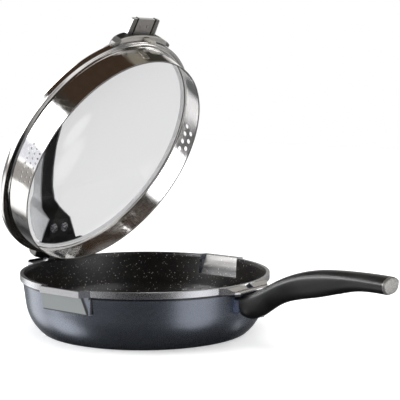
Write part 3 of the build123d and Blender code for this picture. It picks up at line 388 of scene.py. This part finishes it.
def handle_loops(along, inset=0.0):
    """Sections across the handle: y runs over a circular arc through edge, crest and edge on top, and
    back round half of a rounded box below the edges, where half-width and depth go with the cosine to
    the power 0.72 and the sine to the power 0.86."""
    crest, edge, under, half = (column[:, None] for column in flowing(HANDLE_STATIONS, along).T)
    crest, edge, under, half = crest - inset, edge - 0.75 * inset, under + inset, half - 1.1 * inset
    over = np.linspace(-1, 1, TOP_POINTS, endpoint=False)
    bow = (half ** 2 + (crest - edge) ** 2) / (2 * (crest - edge))
    top_y = half * over
    top_z = crest - bow + np.sqrt(bow ** 2 - top_y ** 2)
    below = np.linspace(0, pi, UNDER_POINTS, endpoint=False)
    y = np.concatenate([top_y, half * np.sign(np.cos(below)) * np.abs(np.cos(below)) ** 0.72], 1)
    z = np.concatenate([top_z, edge - (edge - under) * np.sin(below) ** 0.86], 1)
    x = np.broadcast_to((RIM + along)[:, None], y.shape)
    return soften(np.stack([x, y, z], -1), 3)


# In metres: where the painted highlight starts and is full, back along the handle and up its side
ROOT_HIGHLIGHT_X, ROOT_HIGHLIGHT_Z = (0.176, 0.15), (0.038, 0.054)
phenolic = Finish("black_phenolic")
grain = phenolic.noise(0.0005)
wear = phenolic.noise(0.02, detail=4.0)
x, y, z = phenolic.axes(phenolic.place)
painted_root_highlight = phenolic.times(phenolic.step(x, *ROOT_HIGHLIGHT_X), phenolic.step(z, *ROOT_HIGHLIGHT_Z))
black = phenolic.mix(wear, tone(14, 14, 15), tone(26, 26, 27))
# Painted highlight: the black turns grey towards the ferrule and up the side
phenolic.set("Base Color", phenolic.mix(phenolic.times(painted_root_highlight, 0.8), black, tone(72, 72, 72)))
phenolic.set("Specular IOR Level", 0.6)
phenolic.polish(wear, 0.3, 0.42)
phenolic.bump((grain, 0.00003), (wear, 0.0001))

# Rows along the handle, closer at the end of the space under the ledge and round the screw's bore
by_screw = SCREW_X - RIM + np.linspace(-5, 5, 24)
rows = [np.linspace(HANDLE_START, HANDLE_END, 190), [GAP_END - 0.02, GAP_END + 0.03], by_screw]
grip = handle_loops(np.unique(np.concatenate(rows)))
x, y, z = grip[..., 0], grip[..., 1], grip[..., 2]
z = np.where(x < RIM + GAP_END, np.minimum(z, GAP_TOP - GAP_FALL * (x - RIM)), z)
z = np.where((np.abs(y) < NOTCH_HALF) & (x < RIM + NOTCH_END), np.minimum(z, NOTCH_FLOOR), z)
away = np.hypot(x - SCREW_X, y)
below = z < UNDER_SIDE
onto = below & (np.abs(away - SCREW_BORE) < BORE_CATCH)
x = np.where(onto, SCREW_X + (x - SCREW_X) * SCREW_BORE / np.maximum(away, 0.01), x)
y = np.where(onto, y * SCREW_BORE / np.maximum(away, 0.01), y)
z = np.where(below & (away < SCREW_BORE), SCREW_SEAT, z)
long_handle = surface("long_handle_grip", "pan", np.stack([x, y, z], -1), phenolic, 50)
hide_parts("long_handle")

# The screws, rivets, washers, pins and the latch's spring are zinc-plated steel. The handle's screw
# goes in from below and holds it on the tang.
plated = Finish("plated_screws", metal=1.0)
patina = plated.noise(0.0012, detail=4.0)
plated.set("Base Color", plated.mix(patina, tone(150, 150, 155), tone(226, 226, 230)))
plated.polish(patina, 0.14, 0.34)
plated.bump((patina, 0.00003))
finish_nodes(plated, "handle_screw", "bracket_rivets", "rear_foot_screws", "front_foot_screws",
             "rear_foot_washers", "front_foot_washers", "hinge_pin", "latch_pin", "latch_spring")

# The end cap is a cast disc in light metal, satin with a mottled skin, slightly domed and glued in.
# Its edge is rounded over a quarter circle.
CAP_START, CAP_EDGE, CAP_INSET, CAP_DOME = 169.85, 2.6, 1.6, 0.4
mottled = Finish("mottled_cap_metal", metal=0.85)
blotch = mottled.noise(0.0016, detail=5.0, rough=0.7)
skin = mottled.step(blotch, 0.35, 0.65)
mottled.set("Base Color", mottled.mix(skin, tone(142, 140, 137), tone(206, 204, 201)))
mottled.polish(blotch, 0.3, 0.5)
mottled.bump((blotch, 0.00008))
rim_loops = np.concatenate([
    handle_loops(np.array([HANDLE_END]), CAP_INSET * (1 - cos(lean)))
    + [CAP_START - HANDLE_END + CAP_EDGE * sin(lean), 0, 0] for lean in np.linspace(0, pi / 2, 8)])
centre = rim_loops[-1].mean(0)
closer = np.linspace(1, 0.02, 12)[1:, None, None]
face = centre + (rim_loops[-1] - centre) * closer + np.array([CAP_DOME, 0, 0]) * (1 - closer ** 2)
end_cap = surface("end_cap", "pan", np.concatenate([rim_loops, face]), mottled, 60)
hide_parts("handle_end_cap")

# The lid ring is rolled and drawn from one strip of stainless steel: a channel that grips the glass, a
# flange that lies over the pan's rim, and a leaning skirt pierced by the strainer holes. It is polished
# bright, with a crowned outer band, two fine beads in the flange and a rolled lower edge.
LID_OPEN = radians(61.7)
HINGE_X, HINGE_Z = -145.4, 77.0
STEPS_ROUND = 288


def opened(points):
    """Points of the closed lid, in millimetres, turned up about the hinge pin to the open position."""
    x, y, z = points[..., 0] - HINGE_X, points[..., 1], points[..., 2] - HINGE_Z
    return np.stack([HINGE_X + x * cos(LID_OPEN) - z * sin(LID_OPEN), y,
                     HINGE_Z + x * sin(LID_OPEN) + z * cos(LID_OPEN)], -1)


def turned(profile):
    """The profile's distances and heights carried round the lid's axis, closed as built, then opened."""
    angle = np.linspace(0, 2 * pi, STEPS_ROUND, endpoint=False)[:, None]
    reach, height = np.array(profile).T[:, None, :]
    return opened(np.stack([reach * np.cos(angle), reach * np.sin(angle), height + 0 * angle], -1))


def closed_axes(finish):
    """The place, and the way it faces, on the closed lid of a point on the open one."""
    shift = (HINGE_X - HINGE_X * cos(LID_OPEN) - HINGE_Z * sin(LID_OPEN), 0.0,
             HINGE_Z + HINGE_X * sin(LID_OPEN) - HINGE_Z * cos(LID_OPEN))
    back = {"Rotation": (0.0, LID_OPEN, 0.0)}
    place = {"Vector": finish.place, "Location": tuple(0.001 * s for s in shift), **back}
    facing = {"Vector": finish.facing, **back}
    return (finish.axes(finish.add("ShaderNodeMapping", place).outputs["Vector"]),
            finish.axes(finish.add("ShaderNodeMapping", facing, vector_type="NORMAL").outputs["Vector"]))


# In metres, the top of the lower roll's painted shade and where the holes' walls, painted dark as
# shade, start and stop. The skirt's lean is its level step for each step up.
ROLL_SHADE_TOP, HOLES_LOW, HOLES_HIGH = 0.0386, 0.0395, 0.0645
SKIRT_LEAN = 0.14
polished = Finish("polished_ring_steel")
(x, y, z), (nx, ny, nz) = closed_axes(polished)
outward = polished.outward(x, y, nx, ny)
off_skirt = polished.math("ABSOLUTE", polished.scaled(nz, -SKIRT_LEAN, outward))
shaded_hole_walls = polished.times(polished.step(off_skirt, 0.8, 0.6),
                           polished.step(z, HOLES_LOW, HOLES_LOW + 0.0005),
                           polished.step(z, HOLES_HIGH, HOLES_HIGH - 0.0005))
# Painted shade: the holes' walls and the lower roll are painted dark brown and not metallic
dark = polished.most(shaded_hole_walls, polished.step(z, ROLL_SHADE_TOP, ROLL_SHADE_TOP - 0.0006, 0.0, 0.85))
sheet = polished.mix(polished.noise(0.008, detail=4.0), tone(216, 213, 210), tone(240, 239, 237))
polished.set("Base Color", polished.mix(dark, sheet, tone(40, 33, 28)))
polished.set("Metallic", polished.rest(dark))
polished.polish(polished.noise(0.004, detail=4.0), 0.07, 0.13)
polished.bump((polished.noise(0.025), 0.00022))
finish_nodes(polished, "lid_ring")

# The profile's points are distances from the lid's axis and heights over the table, in millimetres. The
# band's crown is part of an ellipse, and the flange's beads are a cosine that fades out at both ends.
BAND_RADIUS, BAND_MIDDLE, BAND_HALF, CROWN_HEIGHT = 142.05, 69.35, 2.95, 0.32
FLANGE_OUT, FLANGE_WIDTH, FLANGE_Z, BEAD_HEIGHT = 141.3, 4.5, 66.2, 0.1
crown = np.linspace(-1, 1, 15)
bulge = CROWN_HEIGHT * np.sqrt(1 - (0.96 * crown) ** 2)
band = np.stack([BAND_RADIUS + bulge, BAND_MIDDLE - BAND_HALF * crown], -1)
inward = np.linspace(0, 1, 33)
beads = BEAD_HEIGHT * np.cos(inward * 4 * pi) * np.sin(inward * pi)
flange = np.stack([FLANGE_OUT - FLANGE_WIDTH * inward, FLANGE_Z - beads], -1)
channel_top = [(134.8, 72.4), (136.0, 72.56), (141.2, 72.56)]
channel_inside = [(136.4, 65.2), (136.15, 64.2), (136.0, 66.9), (141.2, 66.9), (141.5, 72.0), (135.2, 72.1)]
ring_edge = turned(np.concatenate([channel_top, band, flange, channel_inside]))
surface("lid_ring_crowned_edge", "lid", ring_edge, polished, 60, loop_rows=True)
around = np.linspace(0, 2 * pi, 12, endpoint=False)
for name, middle, height, size in (("lid_ring_skirt_roll", 132.1, 37.6, 0.62),
                                   ("lid_ring_lip_roll", 134.9, 72.0, 0.5),
                                   ("lid_ring_inner_bead", 135.4, 66.75, 0.55)):
    roll = turned(np.stack([middle + size * np.cos(around), height + size * np.sin(around)], -1))
    surface(name, "lid", roll, polished, 60, loop_rows=True)

# The glass is a toughened dome with a flat rim held in the ring's channel, clear, with the faint
# waviness of a pressed sheet. The rim's ground edge is opaque, with a faint painted glow.
GLASS_OUT, GLASS_IN, GLASS_CENTRE = 309.82, 305.82, -208.47
DOME_OUT_REACH, DOME_IN_REACH = 133.0, 132.05
GROUND_START = 0.1322
WHITE = (1.0, 1.0, 1.0, 1.0)
clear = Finish("toughened_glass")
(x, y, z), _ = closed_axes(clear)
ground_rim_glow = clear.step(clear.from_axis(x, y), GROUND_START, GROUND_START + 0.0006)
clear.set("Base Color", tone(233, 233, 234))
clear.set("Transmission Weight", clear.rest(ground_rim_glow)).set("IOR", 1.45)
clear.set("Roughness", clear.times(ground_rim_glow, 0.3))
# Painted glow: the ground rim emits a little white light
clear.set("Emission Color", WHITE).set("Emission Strength", clear.times(ground_rim_glow, 0.16))
clear.bump((clear.noise(0.06, detail=1.0), 0.00004))
out_lean = np.linspace(0.001, asin(DOME_OUT_REACH / GLASS_OUT), 60)
in_lean = np.linspace(asin(DOME_IN_REACH / GLASS_IN), 0.001, 60)
dome_out = np.stack([GLASS_OUT * np.sin(out_lean), GLASS_CENTRE + GLASS_OUT * np.cos(out_lean)], -1)
dome_in = np.stack([GLASS_IN * np.sin(in_lean), GLASS_CENTRE + GLASS_IN * np.cos(in_lean)], -1)
flat_rim = [(136.0, 71.35), (139.0, 71.35), (139.2, 71.15), (139.2, 67.55), (139.0, 67.35), (135.0, 67.35)]
pane = turned(np.concatenate([dome_out, flat_rim, dome_in])).transpose(1, 0, 2)
glass = surface("glass_dome_pane", "lid", pane, clear, 35)
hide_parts("glass_dome")

# The bridge handle over the lid is a black nylon core in a shell that is sprayed light grey with a
# fine dark speckle. The core is an open channel under the arch and solid in the two feet.
CORNER_POINTS = 6


def rounded(corners):
    """A closed section through corners given as distance, height and rounding: at each corner a parabola
    that leaves one side and joins the next at the rounding's distance from the corner."""
    table = np.array(corners, float)
    spots, ease = table[:, :2], table[:, 2:]
    last, after = np.roll(spots, 1, 0) - spots, np.roll(spots, -1, 0) - spots
    start = spots + ease * last / np.linalg.norm(last, axis=1, keepdims=True)
    end = spots + ease * after / np.linalg.norm(after, axis=1, keepdims=True)
    t = np.linspace(0, 1, CORNER_POINTS)[:, None, None]
    curve = (1 - t) ** 2 * start + 2 * t * (1 - t) * spots + t ** 2 * end
    return curve.transpose(1, 0, 2).reshape(-1, 2)


def over_dome(gap, x, y):
    """The height of a shell round the dome's centre, a gap outside the glass:
    centre + sqrt((radius + gap)^2 - x^2 - y^2)."""
    return GLASS_CENTRE + np.sqrt((GLASS_OUT + gap) ** 2 - x ** 2 - y ** 2)


speckled = Finish("speckled_grey_shell", metal=0.2)
dots, _ = speckled.grains(0.0011, 0.24, 0.75)
cloud = speckled.noise(0.0009, detail=3.0)
base = speckled.mottle(cloud, tone(134, 135, 136), tone(158, 159, 160))
speckled.set("Base Color", speckled.mix(speckled.times(dots, 0.6), base, tone(80, 81, 82)))
speckled.polish(cloud, 0.36, 0.48)
speckled.bump((dots, 0.00003))

SHELL_THICKNESS, SHELL_END = 2.0, 131.3
FOOT_START, FOOT_GAP = 107.0, 5.5
PAN_HEIGHT = 66.0
# Place along the lid with the height above the pan's rim of the bridge's top and of its underside, and
# with its half width
SHELL_TOP = np.array([
    (-131.5, 22.0), (-125, 36.0), (-118, 47.0), (-110.5, 57.5), (-104, 63.0), (-97, 66.6), (-85, 73.5),
    (-64, 81.5), (-36, 90.0), (-6, 94.5), (24, 89.0), (52, 76.5), (80, 59.5), (104, 43.5), (120, 31.5),
    (131.5, 18.0)])
SHELL_UNDER = np.array([
    (-FOOT_START, 21.0), (-106, 31.0), (-103.5, 41.0), (-98, 49.0), (-86, 57.5), (-64, 68.0), (-36, 77.0),
    (-6, 81.5), (22, 76.0), (48, 64.5), (74, 48.5), (92, 33.5), (FOOT_START, 20.0)])
SHELL_HALF = np.array([
    (-140, 33.5), (-124, 27.5), (-107, 18.8), (-98, 12.6), (-84, 11), (84, 11), (98, 12.6), (107, 18.8),
    (124, 27.5), (140, 33.5)])


def shell_section(x, top, half):
    """Across the shell: an upside-down U, with its lower edges on the bridge's underside or, at the
    feet, a finger's width over the dome."""
    inside, ceiling = half - SHELL_THICKNESS, top - SHELL_THICKNESS
    if abs(x) < FOOT_START:
        low = inner_low = PAN_HEIGHT + np.interp(x, SHELL_UNDER[:, 0], SHELL_UNDER[:, 1])
    else:
        low, inner_low = over_dome(FOOT_GAP, x, half), over_dome(FOOT_GAP, x, inside)
    return rounded([(-half, low, 0.5), (-half, top, 2.6), (half, top, 2.6), (half, low, 0.5),
                    (inside, inner_low, 0.2), (inside, ceiling, 1.2), (-inside, ceiling, 1.2),
                    (-inside, inner_low, 0.2)])


foot_edge = np.array([-0.01, 0.01])
stations = np.unique(np.concatenate([np.linspace(-SHELL_END, SHELL_END, 150), foot_edge - FOOT_START,
                                     foot_edge + FOOT_START]))
tops = PAN_HEIGHT + flowing(SHELL_TOP, stations)[:, 0]
halves = np.interp(stations, SHELL_HALF[:, 0], SHELL_HALF[:, 1])
sections = np.array([shell_section(*row) for row in zip(stations, tops, halves)])
along = np.broadcast_to(stations[:, None], sections.shape[:2])
arch = opened(np.stack([along, sections[..., 0], sections[..., 1]], -1))
shell = surface("lid_handle_arch", "lid", arch, speckled, 50)
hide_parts("lid_handle_shell")

nylon = Finish("black_nylon")
grain = nylon.noise(0.0007, detail=3.0)
sheen = nylon.noise(0.012, detail=3.0)
nylon.set("Base Color", nylon.mix(grain, tone(10, 10, 11), tone(22, 22, 23))).set("Specular IOR Level", 0.35)
nylon.polish(sheen, 0.4, 0.54)
nylon.bump((grain, 0.00005))
finish_nodes(nylon, "lid_handle_core")

# The hinge clip and the latch housing are moulded nylon caps that grip the ring's outer band at the
# back and at the front. Both swell in the middle and fall towards their ends; the clip is open behind
# for the pan's bracket, the housing on top for the lever and below it for the hook.

# Painted highlight on the housing's lower lip and both caps' rounded ends: their height and place in metres
LIP_TOP, FIN_START = 0.0694, 0.0385
moulded = Finish("moulded_cap_nylon")
(x, y, z), _ = closed_axes(moulded)
grain = moulded.noise(0.0007, detail=3.0)
black = moulded.mix(grain, tone(14, 14, 15), tone(30, 30, 31))
lip = moulded.times(moulded.step(z, LIP_TOP, LIP_TOP - 0.0004), moulded.math("GREATER_THAN", x, 0.0))
fin = moulded.step(moulded.math("ABSOLUTE", y), FIN_START, FIN_START + 0.002)
light = moulded.mix(fin, tone(192, 189, 184), tone(122, 121, 119))
# Painted highlight: the lip and the rounded ends are painted light grey and partly metallic
painted_highlight = moulded.most(lip, fin)
moulded.set("Base Color", moulded.mix(painted_highlight, black, light))
moulded.set("Metallic", moulded.times(painted_highlight, 0.6))
moulded.polish(grain, 0.3, 0.44)
moulded.bump((grain, 0.00004))

END_ROUNDING, END_SHRINK = 1.4, 0.09
RING_TOP = 72.75


def spread(section, *spans):
    """Rows of place and section at even steps over spans, each given as its start, its end, its number
    of rows and the kind of section it has."""
    return [(y, section(y, kind)) for start, end, count, kind in spans
            for y in np.linspace(start, end, count)]


def gripping(name, side, rows, ends=True):
    """A cap on the ring from sections in planes across y, where the distance from the axis gives x by
    x^2 = distance^2 - y^2; at both ends the section shrinks to its middle over a quarter circle."""
    across, sections = np.array([row[0] for row in rows], float), np.array([row[1] for row in rows])
    if ends:
        lean = np.radians(np.linspace(0, 90, 6))[1:]
        drawn = 1 - END_SHRINK * (1 - np.cos(lean))[:, None, None]
        middles = sections.mean(1, keepdims=True)
        closing = [middles[k] + (sections[k] - middles[k]) * drawn for k in (0, -1)]
        onward = END_ROUNDING * np.sin(lean)
        across = np.concatenate([(across[0] - onward)[::-1], across, across[-1] + onward])
        sections = np.concatenate([closing[0][::-1], sections, closing[1]])
    y = np.broadcast_to(across[:, None], sections.shape[:2])
    x = side * np.sqrt(sections[..., 0] ** 2 - y ** 2)
    piece = surface(name, "lid", opened(np.stack([x, y, sections[..., 1]], -1)), moulded, 45)
    return piece


def flowing_rows(rows, spacing):
    """Adds even steps between rows of a table, none longer than the spacing in its first column."""
    parts = [np.linspace(a, b, max(2, int((b[0] - a[0]) / spacing) + 1))[:-1]
             for a, b in zip(rows[:-1], rows[1:])]
    return np.concatenate(parts + [rows[-1:]])


# Place along the lid, half width and gap to the glass
TONGUE_ROWS = np.array([(108.6, 14.9, 5.5), (127.6, 14.9, 5.5), (127.6, 28.6, 5.3), (132.0, 30.4, 5.3),
                        (137.0, 32.8, 5.3)])
TONGUE_TOP = 8.5


def tongue(name, side):
    """The cap's tongue under a foot, parallel to the dome; past the foot's end it widens to the foot's
    width and runs on into the cap."""
    over = np.linspace(-1, 1, 24)
    points = []
    for x, half, gap in flowing_rows(TONGUE_ROWS, 3.0):
        y = half * np.concatenate([over, over[::-1]])
        gaps = np.repeat([gap, TONGUE_TOP], len(over))
        points.append(np.stack([side * x + 0 * y, y, over_dome(gaps, x, y)], -1))
    surface(name, "lid", opened(np.array(points)), moulded, 45)


CLIP_HALF, CLIP_IN, CLIP_BAND, CLIP_OUT, CLIP_TOP, CLIP_LOW = 38.6, 135.7, 142.75, 152.3, 84.0, 68.6
CLIP_FALL_OUT, CLIP_FALL_TOP, CLIP_FALL_AT = 1.6, 3.6, 40.0
KNUCKLE_HALF, KNUCKLE_IN, KNUCKLE_TOP = 12.4, 140.1, 82.3


def clip_section(y, at_knuckle):
    """Across the clip: over the ring, down its outer band and out; or cut round the hinge pin. Its
    outside and top fall with the cube of the distance from the middle."""
    fall = (abs(y) / CLIP_FALL_AT) ** 3
    out, top = CLIP_OUT - CLIP_FALL_OUT * fall, CLIP_TOP - CLIP_FALL_TOP * fall
    if at_knuckle:
        outer = [(KNUCKLE_IN, RING_TOP, 0.1), (KNUCKLE_IN, KNUCKLE_TOP, 5.2), (out, KNUCKLE_TOP, 0.2),
                 (out, top, 0.7)]
    else:
        outer = [(CLIP_BAND, RING_TOP, 0.1), (CLIP_BAND, CLIP_LOW, 0.3), (out, CLIP_LOW, 1.2),
                 (out, top, 5.0)]
    return rounded([(CLIP_IN, RING_TOP, 0.3)] + outer + [(138.4, top - 0.4, 2.2), (CLIP_IN, 76.5, 1.6)])


clip = gripping("hinge_clip_cap", -1, spread(clip_section, (-CLIP_HALF, -KNUCKLE_HALF, 22, False),
                                             (-KNUCKLE_HALF, KNUCKLE_HALF, 16, True),
                                             (KNUCKLE_HALF, CLIP_HALF, 22, False)))
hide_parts("hinge_clip")
tongue("hinge_clip_tongue", -1)

HOUSING_HALF, HOUSING_IN, HOUSING_OUT, HOUSING_LOW = 45.6, 136.0, 148.6, 67.2
HOUSING_FLAT, HOUSING_FADE, END_OUT, END_TOP, SWELL_OUT, SWELL_TOP = 26.0, 21.0, 145.4, 73.4, 3.2, 7.1
POCKET_HALF, POCKET_IN, WINDOW_HALF = 24.8, 138.4, 5.1
BAND_CLEAR, WINDOW_IN, FRONT_TOP = 142.8, 147.1, 72.7


def housing_section(y, pocket):
    """Across the housing: a cap over the ring's edge, or in the pocket only the bar on its inner side. Its
    outside and top fall along a quarter of an ellipse, sqrt(1 - t^2), past the flat middle."""
    fall = np.clip((abs(y) - HOUSING_FLAT) / HOUSING_FADE, 0, 0.985)
    swell = np.sqrt(1 - fall ** 2)
    out, top = END_OUT + SWELL_OUT * swell, END_TOP + SWELL_TOP * swell
    if pocket:
        return rounded([(HOUSING_IN, RING_TOP, 0.3), (POCKET_IN, RING_TOP, 0.1), (POCKET_IN, 75.3, 0.1),
                        (POCKET_IN, 77.8, 0.1), (POCKET_IN, top, 0.4), (HOUSING_IN, top - 0.6, 0.9)])
    depth = top - RING_TOP
    return rounded([(HOUSING_IN, RING_TOP, 0.2), (BAND_CLEAR, RING_TOP, 0.1), (BAND_CLEAR, HOUSING_LOW, 0.3),
                    (out, HOUSING_LOW, 0.9), (out, top, min(3.0, 0.45 * depth)),
                    (HOUSING_IN, top - 0.08 * depth, min(1.6, 0.45 * depth))])


shoulder = POCKET_HALF + (HOUSING_HALF - POCKET_HALF) * np.sin(np.linspace(0, pi / 2, 16))
housing_rows = [(-y, housing_section(y, False)) for y in shoulder[::-1]]
housing_rows += spread(housing_section, (-POCKET_HALF, POCKET_HALF, 26, True))
housing_rows += [(y, housing_section(y, False)) for y in shoulder]
housing = gripping("latch_housing_cap", 1, housing_rows)
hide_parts("latch_housing")


def front_section(_, inner):
    """The wall in front of the lever's pocket, thinner where the hook passes."""
    return rounded([(inner, HOUSING_LOW, 0.3), (HOUSING_OUT, HOUSING_LOW, 0.9), (HOUSING_OUT, FRONT_TOP, 0.6),
                    (inner, FRONT_TOP, 0.2)])


gripping("latch_housing_front", 1, spread(front_section, (-POCKET_HALF, -WINDOW_HALF, 12, BAND_CLEAR),
                                          (-WINDOW_HALF, WINDOW_HALF, 8, WINDOW_IN),
                                          (WINDOW_HALF, POCKET_HALF, 12, BAND_CLEAR)), ends=False)
tongue("latch_housing_tongue", 1)

# The thumb lever is moulded in a warm grey, with painted shade that darkens its top, two black ribs that
# wrap its outer edge and bright sides. The bent hook, its rivets and the hinge bracket are strip steel;
# the hook's plate is painted like the lever's underside that it lies on.

# In metres: the ribs' middle, the faces past them, the sides, the outer end and the underside
RIB_MIDDLE, PAST_RIBS, LEVER_SIDE, LEVER_END, LEVER_LOW = 0.0152, 0.0166, 0.0222, 0.1648, 0.0732
warm = Finish("lever_grey")
(x, y, z), (_, _, nz) = closed_axes(warm)
aside = warm.math("ABSOLUTE", y)
# Painted shade: the faces that look up on the closed lid are painted darker, less metallic and rougher
top = warm.step(nz, 0.3, 0.6)
grain = warm.noise(0.0008, detail=3.0)
rib = warm.line(aside, RIB_MIDDLE, 0.0009, 0.0011)
bright = warm.most(warm.step(aside, LEVER_SIDE, LEVER_SIDE + 0.0004),
                   warm.step(x, LEVER_END, LEVER_END + 0.0002))
face = warm.mix(grain, tone(148, 144, 140), tone(172, 168, 164))
face = warm.mix(warm.step(aside, PAST_RIBS, PAST_RIBS + 0.0002), face, tone(126, 124, 120))
face = warm.mix(warm.step(z, LEVER_LOW, LEVER_LOW - 0.0004), face, tone(206, 201, 192))
face = warm.mix(bright, face, tone(214, 213, 211))
face = warm.mix(top, face, tone(84, 82, 79))
warm.set("Base Color", warm.mix(rib, face, tone(20, 20, 20)))
warm.set("Metallic", warm.math("SUBTRACT", 0.6, warm.most(warm.times(rib, 0.6), warm.times(top, 0.5))))
warm.set("Roughness", warm.scaled(top, 0.14, warm.step(grain, 0.3, 0.7, 0.3, 0.42)))
warm.bump((grain, 0.00003))
finish_nodes(warm, "latch_lever", "latch_hook", "hook_rivets")

strip = Finish("bent_strip_steel", metal=1.0)
drawn = strip.noise(0.0004, vector=strip.stretched((0.0006, 0.02, 0.0006)))
strip.set("Base Color", strip.mix(drawn, tone(150, 150, 152), tone(205, 205, 207)))
strip.polish(drawn, 0.22, 0.36)
strip.bump((drawn, 0.00002))
finish_nodes(strip, "hinge_bracket")

# The studio: a pale floor that keeps the object's shadow, and a white surround for the camera and
# through the glass, where the floor doesn't show. Reflections see a soft room instead, and scattered
# light a plain one.
FLOOR_HALF = 3.0
floor_mesh = bpy.data.meshes.new("studio_floor")
corners = np.array([(-1, -1, 0), (1, -1, 0), (1, 1, 0), (-1, 1, 0)]) * FLOOR_HALF
floor_mesh.from_pydata(corners.tolist(), [], [(0, 1, 2, 3)])
floor = bpy.data.objects.new("studio_floor", floor_mesh)
scene.collection.objects.link(floor)
floor.visible_glossy = False


def looked_at(finish):
    """1 for a ray from the camera, straight or through the glass only, and 0 after any bounce; and the
    ray's other facts."""
    path = finish.add("ShaderNodeLightPath").outputs
    bounces = finish.math("ADD", path["Diffuse Depth"], path["Glossy Depth"])
    through = finish.times(path["Is Transmission Ray"], finish.math("LESS_THAN", bounces, 0.5))
    return finish.most(path["Is Camera Ray"], through), path


paper = Finish("floor_paper")
seen, path = looked_at(paper)
paper.set("Base Color", paper.mix(paper.noise(0.004, detail=4.0), tone(232, 232, 232), tone(244, 244, 244)))
paper.set("Roughness", 0.9)
paper.set("Emission Color", WHITE).set("Emission Strength", paper.times(seen, 0.36))
nothing = paper.add("ShaderNodeBsdfTransparent").outputs[0]
ends = {0: path["Is Transmission Ray"], 1: paper.shader.outputs[0], 2: nothing}
either = paper.add("ShaderNodeMixShader", ends).outputs[0]
paper.plug(paper.tree.nodes["Material Output"].inputs["Surface"], either)
floor_mesh.materials.append(paper.material)

world = bpy.data.worlds.new("studio_surround")
scene.world = world
world.use_nodes = True


class Surround(Finish):
    """The world's colour, mixed by the same calls as a finish."""

    def __init__(self, world):
        self.tree = world.node_tree
        self.shader = self.tree.nodes["Background"]
        self.way = self.add("ShaderNodeTexCoord").outputs["Generated"]

    def patch(self, colour, azimuth, elevation, inner, outer, paint):
        """Paints a round soft patch of sky, given by the angle from its middle at which it starts and
        stops fading, over the colour so far."""
        a, e = radians(azimuth), radians(elevation)
        middle = (cos(a) * cos(e), sin(a) * cos(e), sin(e))
        near = self.add("ShaderNodeVectorMath", {0: self.way, 1: middle}, operation="DOT_PRODUCT")
        start, stop = cos(radians(outer)), cos(radians(inner))
        span = {"Value": near.outputs["Value"], "From Min": start, "From Max": stop}
        share = self.add("ShaderNodeMapRange", span, interpolation_type="SMOOTHSTEP").outputs["Result"]
        return self.mix(share, colour, (*paint, 1.0))


# Azimuth and elevation of a patch's middle, the angles from it where it starts and stops fading, all
# in degrees, and its light. A patch lies over the ones before it.
ROOM_PATCHES = [
    (152, -8, 12, 24, (0.2, 0.21, 0.21)), (-178, -17, 4, 20, (1.5, 1.5, 1.52)),
    (120, 22, 4, 9, (0.75, 0.75, 0.73)), (124, 14, 5, 10, (1.0, 1.0, 0.98)),
    (168, 27, 10, 18, (3.5, 3.5, 3.5)), (53, -8, 6, 9, (3.2, 3.2, 3.2)),
    (64, -31, 3, 7, (0.8, 0.8, 0.78)), (74, -35, 2, 5, (0.9, 0.9, 0.9)),
    (-50, -2, 18, 42, (0.035, 0.035, 0.038)), (0, 90, 36, 46, (0.05, 0.03, 0.018)),
    (93, 57, 5, 10, (0.24, 0.22, 0.18)), (-165, 48, 8, 20, (6.0, 5.9, 5.8)),
    (4, 22, 18, 30, (1.5, 1.5, 1.52)), (0, -21, 12, 26, (1.05, 1.05, 1.07)),
    (-146, -33, 10, 23, (1.5, 1.5, 1.5)), (-127, -6, 7, 14, (2.3, 2.3, 2.3)),
    (-125, 19, 12, 27, (8.0, 8.0, 8.1)), (-102, 33, 5, 10, (7.0, 7.0, 7.1)),
    (-115, -2, 7, 12, (0.95, 0.97, 1.05)), (-129, -17, 7, 11, (0.42, 0.4, 0.38))]

sky = Surround(world)
height = sky.axes(sky.way)[2]
room = sky.mix(sky.step(height, -0.62, -0.12), (0.008, 0.008, 0.009, 1), (0.26, 0.26, 0.265, 1))
room = sky.mix(sky.step(height, 0.16, 0.3), room, (0.042, 0.037, 0.03, 1))
for row in ROOM_PATCHES:
    room = sky.patch(room, *row)
plain = sky.mix(sky.step(height, -0.2, 0.8), (0.72, 0.72, 0.73, 1), (0.86, 0.86, 0.85, 1))
seen, path = looked_at(sky)
unseen = sky.mix(path["Is Glossy Ray"], plain, room)
sky.set("Color", sky.mix(seen, unseen, WHITE))


def soft_lamp(name, place, aim, size, power):
    """A square area lamp at a place in metres, turned to its aim."""
    lamp = bpy.data.lights.new(name, "AREA")
    lamp.shape, lamp.size, lamp.energy = "SQUARE", size, power
    holder = bpy.data.objects.new(name, lamp)
    holder.location = place
    holder.rotation_euler = (Vector(aim) - Vector(place)).to_track_quat("-Z", "Y").to_euler()
    holder.visible_glossy = False
    scene.collection.objects.link(holder)


soft_lamp("window_left", (-1.1, -1.0, 0.8), (0, 0, 0.15), 0.9, 9)
soft_lamp("window_back", (0.6, 1.2, 1.0), (0, 0, 0.1), 0.9, 9)
soft_lamp("overhead", (0.1, -0.1, 1.6), (0, 0, 0), 1.0, 8)
